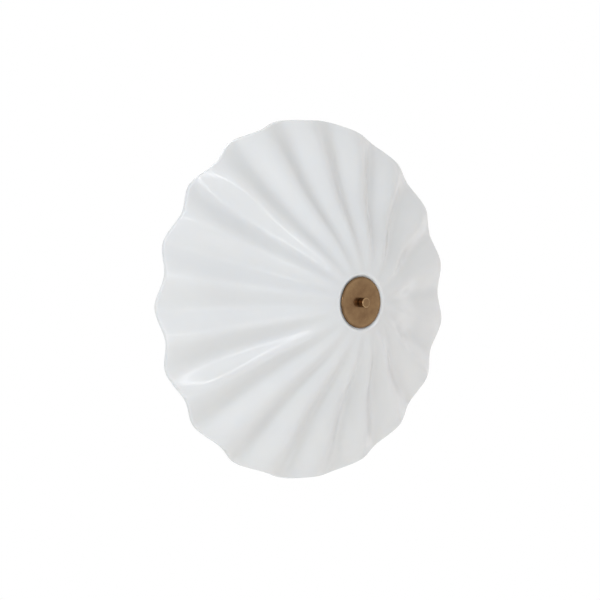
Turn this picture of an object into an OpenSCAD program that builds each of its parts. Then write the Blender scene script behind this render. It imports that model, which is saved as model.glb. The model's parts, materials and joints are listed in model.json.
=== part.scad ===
// Wall lamp: a fluted opal glass shade on a centre rod, held by a brass disc and finial nut,
// in front of a white back pan that carries two small screw-in lamps.
// x runs to the right, y into the wall and z up. The origin is on the wall, behind the finial.
// Inside on_wall() the axes are x to the right, y up and z out of the wall into the room.

/* [Glass shade] */
// Diameter across the wavy rim
shade_d = 350; // [330:1:380]
// Height of the seat edge over the middle of the rim
shade_h = 77; // [70:1:86]
// Distance from the wall to the middle of the rim
rim_standoff = 34; // [32:1:44]
// Thickness of the glass
glass_t = 4; // [3:0.1:5]
// Number of flutes round the shade
flute_count = 18; // [12:1:22]
// Height of a flute at the rim, from valley to ridge
flute_h = 9.9; // [4:0.1:12]
// Extra height of the flutes halfway along the cone, as a share of their height at the rim
flute_swell = 0.37; // [0:0.01:0.45]
// How much of that swell is shifted towards the rim
flute_swell_shift = 0.1; // [0:0.01:0.15]
// How much further out the valleys reach than the ridges at the rim
rim_ripple = 1.8; // [0:0.1:3]
// Angle of the first ridge over the horizontal on the right
flute_start = 11; // [0:1:19]
// Sag of the cone between its seat and its rim
cone_sag = 0.7; // [0:0.1:3]
// Fullness near the seat, taken back again near the rim
cone_s_bend = 1.5; // [0:0.1:2.5]
// Third wave along the cone, which lifts it near the rim
cone_edge_lift = 1.6; // [0:0.1:2.5]
// Diameter of the recess that the brass disc sits in
seat_d = 54.8; // [52:0.1:60]
// Depth of that recess
seat_depth = 1.8; // [1:0.1:3]
// Width of the flat lip round the recess
lip_w = 0.8; // [0.5:0.1:2]
// Hole through the middle of the glass
glass_hole_d = 11; // [9:0.5:16]

/* [Disc and finial] */
// Diameter of the brass cover disc
disc_d = 48.5; // [40:0.5:51]
// Thickness of the cover disc
disc_t = 1.6; // [1.2:0.1:3]
// Chamfer round the front edge of the disc
disc_chamfer = 0.4; // [0.1:0.1:0.8]
// Diameter of the finial nut
finial_d = 9.2; // [9:0.1:14]
// Length of the finial nut in front of the disc
finial_l = 6.8; // [6:0.1:14]
// Chamfer round the end of the finial nut
finial_chamfer = 0.5; // [0.1:0.1:1]
// Thickness of the closed end of the finial nut
finial_end_t = 1; // [0.8:0.1:2]
// Space between the rod's end and the bottom of the nut's bore
rod_end_gap = 0.5; // [0.3:0.1:2]
// Diameter of the fibre washer behind the disc
front_gasket_d = 44; // [30:1:46]
// Thickness of the fibre washer behind the disc
front_gasket_t = 0.5; // [0.3:0.1:2]

/* [Rod and glass support] */
// Diameter of the threaded centre rod
rod_d = 6; // [5:0.5:6]
// Clearance round a thread and in the holes that it passes through
thread_gap = 0.3; // [0.2:0.05:0.4]
// Diameter of the rubber ring behind the glass
rear_gasket_d = 42; // [30:1:50]
// Thickness of the rubber ring behind the glass
rear_gasket_t = 1.5; // [1:0.1:3]
// Diameter of the steel plate that the glass leans on
support_d = 46; // [36:1:52]
// Thickness of that plate
support_t = 2; // [1:0.1:3]
// Turned-up edge of that plate
support_rim_h = 1; // [0.5:0.1:1.4]
// Diameter of the spacer tube round the rod
spacer_d = 9; // [8:0.5:10]
// Hex nut of the rod, across its flats
rod_nut_af = 10; // [10:0.5:13]
// Thickness of that nut
rod_nut_t = 5; // [3:0.5:6]
// Diameter of the washers under the rod's nuts
rod_washer_d = 16; // [12:1:20]
// Thickness of those washers
rod_washer_t = 1.6; // [1:0.1:2]
// Length of rod behind the rear nut
rod_tail = 4; // [2:0.5:5]

/* [Back pan] */
// Diameter of the pan at the wall
pan_d = 220; // [200:1:240]
// Depth of the pan from the wall
pan_depth = 24; // [23:0.5:28]
// Thickness of its sheet
pan_t = 1; // [0.8:0.1:1.5]
// Radius of the pan's front corner
pan_corner_r = 9; // [4:0.5:12]
// How much wider the pan is at the wall than at its front corner
pan_taper = 3; // [0:0.5:6]
// Thickness of the rolled bead round the pan's edge
bead_d = 3; // [2.4:0.1:4]

/* [Wall bracket] */
// Distance from the middle of a slot to the end of the bracket
foot_end_l = 14; // [12:0.5:20]
// Width of the wall bracket
bracket_w = 22; // [18:1:24]
// Thickness of its strip
bracket_t = 2; // [1.5:0.1:2.5]
// Height of the raised middle behind its strip
bracket_rise = 5; // [4:0.1:6]
// Length of the raised middle
raised_l = 84; // [76:1:88]
// Length over which the strip steps down to a foot
step_l = 5; // [3:0.5:6]
// Distance between the two wall screw slots
slot_spacing = 120; // [118:1:124]
// Length of each slot
slot_l = 14; // [8:0.5:16]
// Width of each slot
slot_w = 5; // [4:0.1:6]
// Hole in the middle of the bracket for the supply wires
bracket_hole_d = 14; // [10:0.5:16]
// Distance between the two pan screws
pan_screw_spacing = 60; // [54:1:64]
// Diameter of the pan screws
pan_screw_d = 4; // [3:0.5:5]
// Diameter of their heads
pan_screw_head_d = 8; // [7:0.5:9]
// Height of their heads
pan_screw_head_h = 2.6; // [2:0.1:3]
// Cap nut across its flats
cap_nut_af = 7; // [7:0.5:10]
// Height of the hex part of a cap nut
cap_nut_h = 4; // [3:0.5:6]

/* [Lamps and lampholders] */
// Distance of each lamp's axis over or under the centre rod
lamp_offset = 32; // [31:0.5:38]
// Distance from the rod to the upright plate of a lampholder bracket
upright_x = 68; // [64:0.5:74]
// Diameter of a lamp's globe
globe_d = 45; // [40:0.5:47]
// Length of a lamp from its contact to its nose
lamp_l = 76; // [70:0.5:80]
// Wall of the globe
globe_wall = 1; // [0.6:0.1:2]
// Space between the pan and the globe
globe_gap = 5.5; // [4:0.5:10]
// Diameter of the lamp's screw cap
cap_d = 14; // [13:0.1:14.5]
// Length of the lamp's screw cap
cap_l = 17.5; // [15:0.5:20]
// Height of the insulator at the end of the cap
insulator_h = 3; // [2:0.5:4]
// Height of the contact at the end of the lamp
tip_h = 1; // [0.6:0.1:2]
// Diameter of the contact at the end of the lamp
tip_d = 4.8; // [3:0.1:6]
// Diameter of the lamp's collar where it meets the globe
collar_d = 37; // [30:0.5:40]
// Diameter of the lampholder body
holder_d = 27; // [26:0.5:30]
// Length of the lampholder body
holder_l = 40; // [38:0.5:44]
// Bore of the lampholder body
holder_bore_d = 18.4; // [18:0.1:21]
// Distance from the upright to the insulating insert
insert_u = 14; // [12:0.5:15]
// Thickness of the insulating insert
insert_t = 5; // [4:0.5:6]
// Wall of the threaded metal shell
shell_wall = 0.9; // [0.6:0.1:1.2]
// Length of the threaded metal shell
shell_l = 17; // [14:0.5:18]
// Clearance between two parts that move apart
run_gap = 0.3; // [0.2:0.05:0.4]
// Outer diameter of the hollow threaded nipple
nipple_d = 10; // [9:0.5:11]
// Bore of the nipple
nipple_bore_d = 7.6; // [7:0.1:8]
// Length of nipple behind the upright
nipple_back = 8; // [6:0.5:10]
// Length of nipple inside the lampholder body
nipple_front = 6; // [4:0.5:8]
// Ring nut of the nipple, across its flats
nipple_nut_af = 14; // [13:0.5:17]
// Thickness of that nut
nipple_nut_t = 3; // [2:0.5:4]
// Thickness of the lampholder bracket
upright_t = 1.5; // [1:0.1:2]
// Width of the lampholder bracket
upright_w = 26; // [24:1:28]
// Height of the upright over the lamp's axis
upright_over = 11; // [9:0.5:14]
// Length of the bracket's foot
foot_l = 20; // [18:0.5:24]
// Distance between the two screws in a foot
foot_screw_spacing = 16; // [12:0.5:17]
// Diameter of the small machine screws
small_screw_d = 3; // [2.5:0.1:3.5]

/* [Wiring] */
// Diameter of an insulated wire
wire_d = 2.2; // [1.8:0.1:2.3]
// Distance of the terminal block's middle to the left of the rod
block_left = 57; // [56:0.5:60]
// Distance of the terminal block's middle over the rod
block_up = 40; // [39:0.5:42]
// Distance between two ways of the terminal block
way_pitch = 10; // [9.5:0.1:10.5]
// Length of a way of the terminal block
way_l = 17; // [16:0.5:18]
// Diameter of a way's barrel
way_d = 9; // [8.6:0.1:9.4]
// Height of a way's axis over the pan
way_h = 6.5; // [6.2:0.1:7]
// Outer diameter of the brass sleeve in a way
sleeve_d = 6.4; // [6.2:0.1:6.6]
// Bore of that sleeve
sleeve_bore_d = 5; // [4.8:0.1:5.2]
// Distance of the cable grommet to the left of the rod
grommet_left = 62; // [58:0.5:66]
// Distance of the cable grommet over the rod
grommet_up = 20; // [19.5:0.5:21]
// Hole in the pan for the grommet
grommet_hole_d = 11; // [10:0.5:12]
// Bore of the grommet
grommet_bore_d = 8; // [7:0.1:8.6]
// Distance of the earth screw to the left of the rod
earth_left = 18; // [10:0.5:22]
// Distance of the earth screw over the rod
earth_up = 70; // [68:0.5:74]
// Diameter of the earth screw
earth_screw_d = 4; // [3:0.5:5]

/* [Hidden] */
$fn = 96;

// Joins and clearances
eps = 0.01;
cut = 1;
seat_gap = 0.1;

// Glass shade: radii, and heights from the wall
lip_r = seat_d / 2 + lip_w;
rim_r = (shade_d - rim_ripple) / 2;
crown_z = rim_standoff + shade_h;
land_z = crown_z - seat_depth;
land_back_z = land_z - glass_t;
glass_drop = glass_t / cos(atan(shade_h / (rim_r - lip_r)));
rings = 14;
steps = flute_count * 8;

// Stack along the rod, as distances from the wall
front_gasket_z = land_z + seat_gap;
disc_z = front_gasket_z + front_gasket_t;
finial_z = disc_z + disc_t;
finial_bore_l = finial_l - finial_end_t;
rod_front_z = finial_z + finial_bore_l - rod_end_gap;
rear_gasket_z = land_back_z - seat_gap - rear_gasket_t;
support_z = rear_gasket_z - support_t;
front_nut_z = pan_depth + rod_washer_t;
spacer_z = front_nut_z + rod_nut_t;
rear_washer_z = pan_depth - pan_t - rod_washer_t;
rear_nut_z = rear_washer_z - rod_nut_t;
rod_back_z = rear_nut_z - rod_tail;
rod_hole_d = rod_d + 2 * thread_gap;

// Small screws: shares of the screw's diameter that such screws have
head_ratio = 1.9;
head_h_ratio = 0.65;
nut_ratio = 1.8;
nut_h_ratio = 0.8;
washer_ratio = 2.2;
pan_washer_t = 0.8;
pan_screw_reach = 3.4;
cap_nut_land = 0.2;
small_screw_tail = 1;
block_screw_d = 2.5;
earth_washer_t = 0.8;
support_rim_t = 1.2;
rear_gasket_play = 0.5;

// Wall bracket
bracket_l = slot_spacing + 2 * foot_end_l;

// Lamps: u runs from the upright's face towards the lamp's nose
lamp_axis_z = pan_depth + globe_gap + globe_d / 2;
shell_u = insert_u + insert_t;
shell_floor_t = 0.6;
insert_passage_d = 2;
contact_w = 4;
contact_t = 0.4;
contact_h = 1;
contact_lift = 0.3;
contact_foot_l = 2;
contact_rise_l = 1.5;
contact_flat_l = 2.5;
holder_back_t = 3.2;
holder_dome_r = 5;
grip_l = 4;
grip_depth = 0.8;
grip_slope_l = 1;
mouth_l = 4;
mouth_chamfer = 0.8;
tip_u = shell_u + contact_h + run_gap;
tip_bevel = 0.8;
insulator_lip = 0.4;
cap_shoulder_in = 2;
cap_shoulder_l = 2.4;
collar_over = 1.2;
collar_straight_l = 2;
collar_fullness = 0.55;
collar_steps = 8;
cap_u = tip_u + tip_h + insulator_h;
collar_u = cap_u + cap_l;
nose_u = tip_u + lamp_l;
globe_u = nose_u - globe_d / 2;
collar_end_u = globe_u - sqrt(pow(globe_d / 2, 2) - pow(collar_d / 2, 2));
shell_r = cap_d / 2 + run_gap + shell_wall;
collar_neck_r = cap_d / 2 + collar_over;
insulator_r = cap_d / 2 - cap_shoulder_in;
shell_floor_in = 0.8;
foot_screw_u = foot_l * 0.6;
bend_r = upright_t + 1;

// Terminal block
ways = [-1, 0, 1];
block_base_h = 3;
block_inset = 1;
tower_d = 6.4;
tower_start = 1;
tower_h = way_h + 5.5;
sleeve_inset = 1.5;
terminal_screw_d = 3.4;
terminal_screw_l = 4;
terminal_slot_w = 0.6;
terminal_slot_depth = 0.8;
screw_offset = way_l / 4;
wire_start_z = pan_depth + way_h;

// Grommet and earth lug
grommet_flange_w = 2.2;
grommet_flange_t = 2;
grommet_bevel = 1;
lug_neck_w = 3;
lug_neck_l = 1.5;
lug_reach = 5;
lug_barrel_l = 4.5;
lug_wall = 1;
lug_lift = 1.2;

// Wire routes, x to the right, y up and z out of the wall, as chosen by hand
wire_sides = 8;
wire_steps = 3;
upper_live_route = [
    [-55.7, 43, 30.5], [-55.6, 50, 30.3], [-54, 55, 27.5], [-46, 57.5, 25.7], [-20, 57, 25.6],
    [30, 57, 25.6], [62, 55, 25.7], [80, 47, 28], [87, 38, 37], [86.5, 33.6, 47.5],
    [81, 33.5, 52], [75, 33.5, 52], [67, 33.5, 52]
];
upper_neutral_route = [
    [-65.7, 43, 30.5], [-65.6, 50, 30.2], [-63.5, 56, 27], [-55, 60.7, 25.7], [-20, 61, 25.6],
    [30, 61, 25.6], [64, 59, 25.7], [84, 50, 29], [92, 39, 40], [90.5, 31.5, 50],
    [83, 30.5, 52], [75, 30.5, 52], [67, 30.5, 52]
];
lower_live_route = [
    [-58.3, 43, 30.5], [-58.5, 50, 30.7], [-61, 56.5, 32], [-69, 59, 32], [-78, 53, 30],
    [-82, 42, 26], [-82.5, 28, 25.6], [-84, 0, 25.6], [-87, -16, 28], [-93, -28, 40],
    [-91.5, -31, 50], [-83, -30.5, 52], [-75, -30.5, 52], [-67, -30.5, 52]
];
lower_neutral_route = [
    [-68.3, 43, 30.5], [-68.6, 50, 30.2], [-72.5, 53, 28], [-77, 47, 26], [-77.8, 38, 25.6],
    [-78, 20, 25.6], [-79.5, 0, 25.6], [-82, -18, 27.5], [-87.5, -32, 37], [-87, -34.5, 47.5],
    [-81, -33.5, 52], [-75, -33.5, 52], [-67, -33.5, 52]
];
earth_route = [
    [-47, 43, 30.5], [-47, 50, 30.6], [-45, 58, 31], [-39, 65.5, 30.8], [-32, 69, 28.6],
    [-27, 70, 26.6], [-23.6, 70, 26.3]
];

// Colours as they show on the lamp
glass_c = [0.87, 0.87, 0.86];
brass_c = [0.51, 0.41, 0.31];
steel_c = [0.68, 0.69, 0.70];
white_c = [0.93, 0.93, 0.91];
rubber_c = [0.12, 0.12, 0.12];

// Places a piece that is drawn from the wall outwards
module on_wall(at = [0, 0, 0]) rotate([90, 0, 0]) translate(at) children();

// Places a piece on a lamp's axis: side is 1 for the upper lamp and -1 for the lower one
module at_lamp(side, u = 0) on_wall() rotate([0, 0, side > 0 ? 0 : 180])
    translate([upright_x, lamp_offset, lamp_axis_z]) rotate([0, -90, 0]) translate([0, 0, u]) children();

module both_lamps(u = 0) for (side = [1, -1]) at_lamp(side, u) children();

module ring(d, bore, h, z = 0) translate([0, 0, z]) difference() {
    cylinder(d = d, h = h);
    translate([0, 0, -cut]) cylinder(d = bore, h = h + 2 * cut);
}

module hex(af, h) cylinder(d = af / cos(30), h = h, $fn = 6);

module hex_nut(af, bore, h) difference() {
    hex(af, h);
    translate([0, 0, -cut]) cylinder(d = bore, h = h + 2 * cut);
}

// Slotted cheese-head screw with its head's underside at z = 0 and its shank below
module screw(d, l, head_d, head_h) difference() {
    union() {
        cylinder(d = head_d, h = head_h);
        translate([0, 0, -l]) cylinder(d = d, h = l + eps);
    }
    translate([-head_d, -head_d / 12, head_h * 0.55]) cube([2 * head_d, head_d / 6, head_h]);
}

function arc_points(c, r, a0, a1, n) = [
    for (i = [0:n]) let(a = a0 + (a1 - a0) * i / n) c + r * [cos(a), sin(a)]
];

// Glass shade: t runs from 0 at the lip of the seat to 1 at the rim, and a is the angle round it
function wave(a) = cos(flute_count * (a - flute_start));
function fade(t) = t + flute_swell * sin(180 * t) - flute_swell_shift * sin(360 * t);
function cone_z(t) = shade_h * (1 - t) - cone_sag * sin(180 * t) + cone_s_bend * sin(360 * t)
    + cone_edge_lift * sin(540 * t);
function front_point(t, a) = let(w = fade(t) * wave(a), r = lip_r + t * (rim_r - lip_r) - rim_ripple / 2 * w)
    [r * cos(a), r * sin(a), rim_standoff + cone_z(t) + flute_h / 2 * w];
function back_point(t, a) = let(p = front_point(t, a)) [p.x, p.y, min(land_back_z, p.z - glass_drop)];

module fluted_cone() {
    sections = 2 * (rings + 1);
    shell = [
        for (i = [0:sections - 1], j = [0:steps - 1])
            i <= rings ? front_point(i / rings, 360 * j / steps)
                : back_point((sections - 1 - i) / rings, 360 * j / steps)
    ];
    front_middle = len(shell);
    back_middle = front_middle + 1;
    last = (sections - 1) * steps;
    walls = [
        for (i = [0:sections - 2], j = [0:steps - 1])
            let(k = (j + 1) % steps, a = i * steps + j, b = i * steps + k, c = a + steps, d = b + steps)
                each [[a, b, d], [a, d, c]]
    ];
    caps = [
        for (j = [0:steps - 1])
            let(k = (j + 1) % steps)
                each [[front_middle, k, j], [back_middle, last + j, last + k]]
    ];
    middles = [[0, 0, crown_z], [0, 0, land_back_z]];
    polyhedron(points = concat(shell, middles), faces = concat(walls, caps), convexity = 8);
}

module glass_shade() color(glass_c) on_wall() difference() {
    fluted_cone();
    translate([0, 0, land_z]) cylinder(d = seat_d, h = seat_depth + cut);
    translate([0, 0, land_back_z - cut]) cylinder(d = glass_hole_d, h = glass_t + seat_depth + 2 * cut);
}

module cover_disc() color(brass_c) on_wall([0, 0, disc_z]) difference() {
    union() {
        cylinder(d = disc_d, h = disc_t - disc_chamfer);
        translate([0, 0, disc_t - disc_chamfer])
            cylinder(d1 = disc_d, d2 = disc_d - 2 * disc_chamfer, h = disc_chamfer);
    }
    translate([0, 0, -cut]) cylinder(d = rod_hole_d, h = disc_t + 2 * cut);
}

module finial_nut() color(brass_c) on_wall([0, 0, finial_z + eps]) difference() {
    union() {
        cylinder(d = finial_d, h = finial_l - finial_chamfer);
        translate([0, 0, finial_l - finial_chamfer])
            cylinder(d1 = finial_d, d2 = finial_d - 2 * finial_chamfer, h = finial_chamfer);
    }
    translate([0, 0, -cut]) cylinder(d = rod_hole_d, h = finial_bore_l + cut);
}

module front_gasket() color(rubber_c) on_wall()
    ring(front_gasket_d, rod_hole_d, front_gasket_t, front_gasket_z);

module rear_gasket() color(rubber_c) on_wall()
    ring(rear_gasket_d, glass_hole_d, rear_gasket_t, rear_gasket_z);

// The plate's edge turns up round the rubber ring, short of the glass
module glass_support_plate() color(steel_c) on_wall() union() {
    ring(support_d, rod_hole_d, support_t, support_z);
    rim_bore = max(rear_gasket_d + 2 * rear_gasket_play, support_d - 2 * support_rim_t);
    ring(support_d, rim_bore, support_t + support_rim_h, support_z);
}

module spacer_tube() color(steel_c) on_wall() ring(spacer_d, rod_hole_d, support_z - spacer_z, spacer_z);

module centre_rod() color(steel_c) on_wall([0, 0, rod_back_z])
    cylinder(d = rod_d, h = rod_front_z - rod_back_z);

module rod_nuts() color(steel_c) on_wall() for (z = [front_nut_z, rear_nut_z])
    translate([0, 0, z]) hex_nut(rod_nut_af, rod_hole_d, rod_nut_t);

module rod_washers() color(steel_c) on_wall() for (z = [pan_depth, rear_washer_z])
    ring(rod_washer_d, rod_hole_d, rod_washer_t, z);

// Half of the strip's edge view, from its middle out to the end of a foot
module bracket_side() {
    mid = raised_l / 2;
    foot = mid + step_l;
    end = bracket_l / 2;
    lift = bracket_rise;
    polygon([
        [-eps, lift], [mid, lift], [foot, 0], [end, 0], [end, bracket_t], [foot + bracket_t / 2, bracket_t],
        [mid + bracket_t / 2, lift + bracket_t], [-eps, lift + bracket_t]
    ]);
}

module slot(l, w, h) for (s = [-1, 1]) {
    translate([s * (l - w) / 2, 0, 0]) cylinder(d = w, h = h);
    translate([-(l - w) / 2, -w / 2, 0]) cube([l - w, w, h]);
}

module wall_bracket() color(steel_c) on_wall() difference() {
    through = bracket_rise + bracket_t + cut;
    intersection() {
        for (s = [0, 1]) mirror([s, 0, 0]) rotate([90, 0, 0])
            translate([0, 0, -bracket_w / 2]) linear_extrude(bracket_w) bracket_side();
        union() {
            slot(bracket_l, bracket_w, through);
        }
    }
    for (s = [-1, 1]) {
        translate([s * slot_spacing / 2, 0, -cut]) slot(slot_l, slot_w, bracket_t + 2 * cut);
        translate([s * pan_screw_spacing / 2, 0, 0]) cylinder(d = pan_screw_d + 2 * thread_gap, h = through);
    }
    cylinder(d = bracket_hole_d, h = through);
}

// The pan screws hang in the bracket by their heads and stand out through the pan
module pan_screws() color(steel_c) on_wall() for (s = [-1, 1]) {
    shank_l = pan_depth + pan_washer_t + pan_screw_reach - bracket_rise;
    translate([s * pan_screw_spacing / 2, 0, bracket_rise]) mirror([0, 0, 1])
        screw(pan_screw_d, shank_l, pan_screw_head_d, pan_screw_head_h);
}

module pan_screw_washers() color(steel_c) on_wall() for (s = [-1, 1])
    translate([s * pan_screw_spacing / 2, 0, pan_depth])
        ring(washer_ratio * pan_screw_d, pan_screw_d + 2 * thread_gap, pan_washer_t);

module pan_cap_nuts() color(steel_c) on_wall() for (s = [-1, 1])
    translate([s * pan_screw_spacing / 2, 0, pan_depth + pan_washer_t]) difference() {
        dome_r = cap_nut_af / 2 - cap_nut_land;
        union() {
            hex(cap_nut_af, cap_nut_h);
            translate([0, 0, cap_nut_h]) intersection() {
                sphere(r = dome_r);
                translate([0, 0, -eps]) cylinder(r = dome_r + cut, h = dome_r + cut);
            }
        }
        translate([0, 0, -cut]) cylinder(d = pan_screw_d + 2 * thread_gap, h = cap_nut_h + cut);
    }

// Right half of the pan's section: outside from the middle to the wall, round the bead, and back inside
module pan_section() {
    bead_r = pan_d / 2 - bead_d / 2;
    side_r = bead_r + pan_t / 2;
    corner_r = side_r - pan_taper;
    lean = atan(pan_taper / (pan_depth - pan_corner_r));
    centre = [corner_r - pan_corner_r, pan_depth - pan_corner_r];
    open_a = acos(pan_t / bead_d);
    outer = concat([[0, pan_depth]], arc_points(centre, pan_corner_r, 90, lean, 8));
    bead = arc_points([bead_r, bead_d / 2], bead_d / 2, open_a, -180 - open_a, 20);
    inner = concat(arc_points(centre, pan_corner_r - pan_t, lean, 90, 8), [[0, pan_depth - pan_t]]);
    polygon(concat(outer, bead, inner));
}

module back_pan() color(white_c) on_wall() difference() {
    foot_x = upright_x - foot_screw_u;
    foot_hole_d = small_screw_d + 2 * thread_gap;
    rotate_extrude() pan_section();
    pan_hole(0, 0, rod_hole_d);
    for (s = [-1, 1]) {
        pan_hole(s * pan_screw_spacing / 2, 0, pan_screw_d + 2 * thread_gap);
        rotate([0, 0, s > 0 ? 0 : 180]) for (k = [-1, 1])
            pan_hole(foot_x, lamp_offset + k * foot_screw_spacing / 2, foot_hole_d);
        pan_hole(-block_left + s * way_pitch / 2, block_up, block_screw_d + 2 * thread_gap);
    }
    pan_hole(-grommet_left, grommet_up, grommet_hole_d);
    pan_hole(-earth_left, earth_up, earth_screw_d + 2 * thread_gap);
}

module pan_hole(x, y, d) translate([x, y, pan_depth - pan_t - cut]) cylinder(d = d, h = pan_t + 2 * cut);

// Lampholder bracket: an upright plate on a foot, bent from one strip
module lampholder_brackets() color(steel_c) for (side = [1, -1]) at_lamp(side) difference() {
    drop = lamp_axis_z - pan_depth;
    bend = concat(arc_points([-drop + bend_r, bend_r - upright_t], bend_r, 270, 180, 6),
        arc_points([-drop + bend_r, bend_r - upright_t], bend_r - upright_t, 180, 270, 6));
    union() {
        translate([0, upright_w / 2, 0]) rotate([90, 0, 0]) linear_extrude(upright_w) {
            polygon(bend);
            translate([-drop + bend_r - eps, -upright_t]) square([drop - bend_r + eps, upright_t]);
            translate([-drop, bend_r - upright_t - eps]) square([upright_t, foot_l - bend_r + upright_t]);
        }
        translate([-eps, 0, -upright_t]) intersection() {
            cylinder(d = upright_w, h = upright_t);
            translate([0, -upright_w, -cut]) cube([upright_over + eps, 2 * upright_w, upright_t + 2 * cut]);
        }
    }
    translate([0, 0, -upright_t - cut]) cylinder(d = nipple_d + 2 * seat_gap, h = upright_t + 2 * cut);
    for (k = [-1, 1]) translate([-drop - cut, k * foot_screw_spacing / 2, foot_screw_u]) rotate([0, 90, 0])
        cylinder(d = small_screw_d + 2 * thread_gap, h = upright_t + 2 * cut);
}

module at_foot_screws(z) on_wall() for (s = [0, 180], k = [-1, 1]) rotate([0, 0, s])
    translate([upright_x - foot_screw_u, lamp_offset + k * foot_screw_spacing / 2, z]) children();

module foot_screws() color(steel_c) at_foot_screws(pan_depth + upright_t)
    screw(small_screw_d, upright_t + pan_t + nut_h_ratio * small_screw_d + small_screw_tail,
        head_ratio * small_screw_d, head_h_ratio * small_screw_d);

module foot_screw_nuts() color(steel_c) at_foot_screws(pan_depth - pan_t - nut_h_ratio * small_screw_d)
    hex_nut(nut_ratio * small_screw_d, small_screw_d + 2 * thread_gap, nut_h_ratio * small_screw_d);

module nipples() color(brass_c) both_lamps(-nipple_back - upright_t)
    ring(nipple_d, nipple_bore_d, nipple_back + upright_t + nipple_front);

module nipple_nuts() color(steel_c) both_lamps(-upright_t - nipple_nut_t)
    hex_nut(nipple_nut_af, nipple_d + 2 * seat_gap, nipple_nut_t);

// Lampholder body: domed back, straight barrel with two grip rings, stepped bore
module lampholder_bodies() color(white_c) both_lamps() rotate_extrude() {
    bore_r = holder_bore_d / 2;
    back_r = nipple_d / 2 + seat_gap;
    out_r = holder_d / 2;
    grip_r = out_r - grip_depth;
    grip_end = holder_l - mouth_l;
    grip_start = grip_end - grip_l;
    polygon(concat(
        [[back_r, 0]], arc_points([out_r - holder_dome_r, holder_dome_r], holder_dome_r, 270, 360, 6),
        [[out_r, grip_start], [grip_r, grip_start + grip_slope_l], [grip_r, grip_end - grip_slope_l],
         [out_r, grip_end], [out_r, holder_l - mouth_chamfer], [out_r - mouth_chamfer, holder_l],
         [bore_r, holder_l], [bore_r, holder_back_t], [back_r, holder_back_t]]));
}

// Insulating insert with a passage on each side for the wires' terminals
module lampholder_inserts() color([0.9, 0.89, 0.84]) both_lamps(insert_u) difference() {
    cylinder(d = holder_bore_d - 2 * seat_gap, h = insert_t);
    for (s = [-1, 1]) translate([0, s * insulator_r, -cut])
        cylinder(d = insert_passage_d, h = insert_t + 2 * cut);
}

module lampholder_shells() color([0.80, 0.78, 0.72]) both_lamps(shell_u) difference() {
    cylinder(r = shell_r, h = shell_l);
    translate([0, 0, shell_floor_t]) cylinder(r = shell_r - shell_wall, h = shell_l);
    translate([0, 0, -cut]) cylinder(r = insulator_r + shell_floor_in, h = shell_l);
}

// Sprung centre contact: a strip that rises in a low arch under the lamp's tip
module lampholder_contacts() color(brass_c) both_lamps(shell_u) translate([0, contact_w / 2, 0])
    rotate([90, 0, 0]) {
    flat_x = contact_flat_l / 2;
    arch_x = flat_x + contact_rise_l;
    under = [
        [-arch_x - contact_foot_l, 0], [-arch_x, 0], [-flat_x, contact_h - contact_t],
        [flat_x, contact_h - contact_t], [arch_x, contact_lift]
    ];
    over = [for (i = [len(under) - 1:-1:0]) under[i] + [0, contact_t]];
    linear_extrude(contact_w) polygon(concat(under, over));
}

// Globe: a thin shell open at the back, where the collar holds it
module lamp_globe(side) color([0.95, 0.95, 0.93]) at_lamp(side, globe_u) difference() {
    sphere(d = globe_d);
    sphere(d = globe_d - 2 * globe_wall);
    translate([0, 0, -globe_d]) cylinder(d = globe_d + cut, h = globe_d - (globe_u - collar_end_u));
}

module lamp_collar(side) color(white_c) at_lamp(side, collar_u) rotate_extrude() {
    l = collar_end_u - collar_u - seat_gap;
    end_r = collar_d / 2;
    flare_l = l - collar_straight_l;
    flare = [
        for (i = [1:collar_steps])
            let(s = i / collar_steps, rise = collar_fullness * s + (1 - collar_fullness) * s * s)
                [collar_neck_r + (end_r - collar_neck_r) * sin(90 * s), collar_straight_l + flare_l * rise]
    ];
    polygon(concat([[0, eps], [collar_neck_r, eps], [collar_neck_r, collar_straight_l]], flare, [[0, l]]));
}

// Screw cap: a metal shell that narrows to the insulator
module lamp_cap(side) color([0.80, 0.80, 0.78]) at_lamp(side, cap_u) rotate_extrude()
    polygon([[0, eps], [insulator_r, eps], [cap_d / 2, cap_shoulder_l], [cap_d / 2, cap_l], [0, cap_l]]);

module lamp_insulator(side) color([0.08, 0.08, 0.09]) at_lamp(side, tip_u + tip_h) rotate_extrude()
    polygon([[0, 0], [tip_d / 2 + insulator_lip, 0], [insulator_r, insulator_h], [0, insulator_h]]);

module lamp_contact(side) color(steel_c) at_lamp(side, tip_u) rotate_extrude() {
    r = tip_d / 2;
    polygon([[0, 0], [r - tip_bevel, 0], [r, tip_h * 0.6], [r, tip_h - eps], [0, tip_h - eps]]);
}

module upper_lamp_globe() lamp_globe(1);
module upper_lamp_collar() lamp_collar(1);
module upper_lamp_cap() lamp_cap(1);
module upper_lamp_insulator() lamp_insulator(1);
module upper_lamp_contact() lamp_contact(1);
module lower_lamp_globe() lamp_globe(-1);
module lower_lamp_collar() lamp_collar(-1);
module lower_lamp_cap() lamp_cap(-1);
module lower_lamp_insulator() lamp_insulator(-1);
module lower_lamp_contact() lamp_contact(-1);

module at_block(z = 0) on_wall([-block_left, block_up, pan_depth + z]) children();

// Lays a piece along a way of the block, which runs up and down
module along_way() rotate([90, 0, 0]) children();

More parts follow.
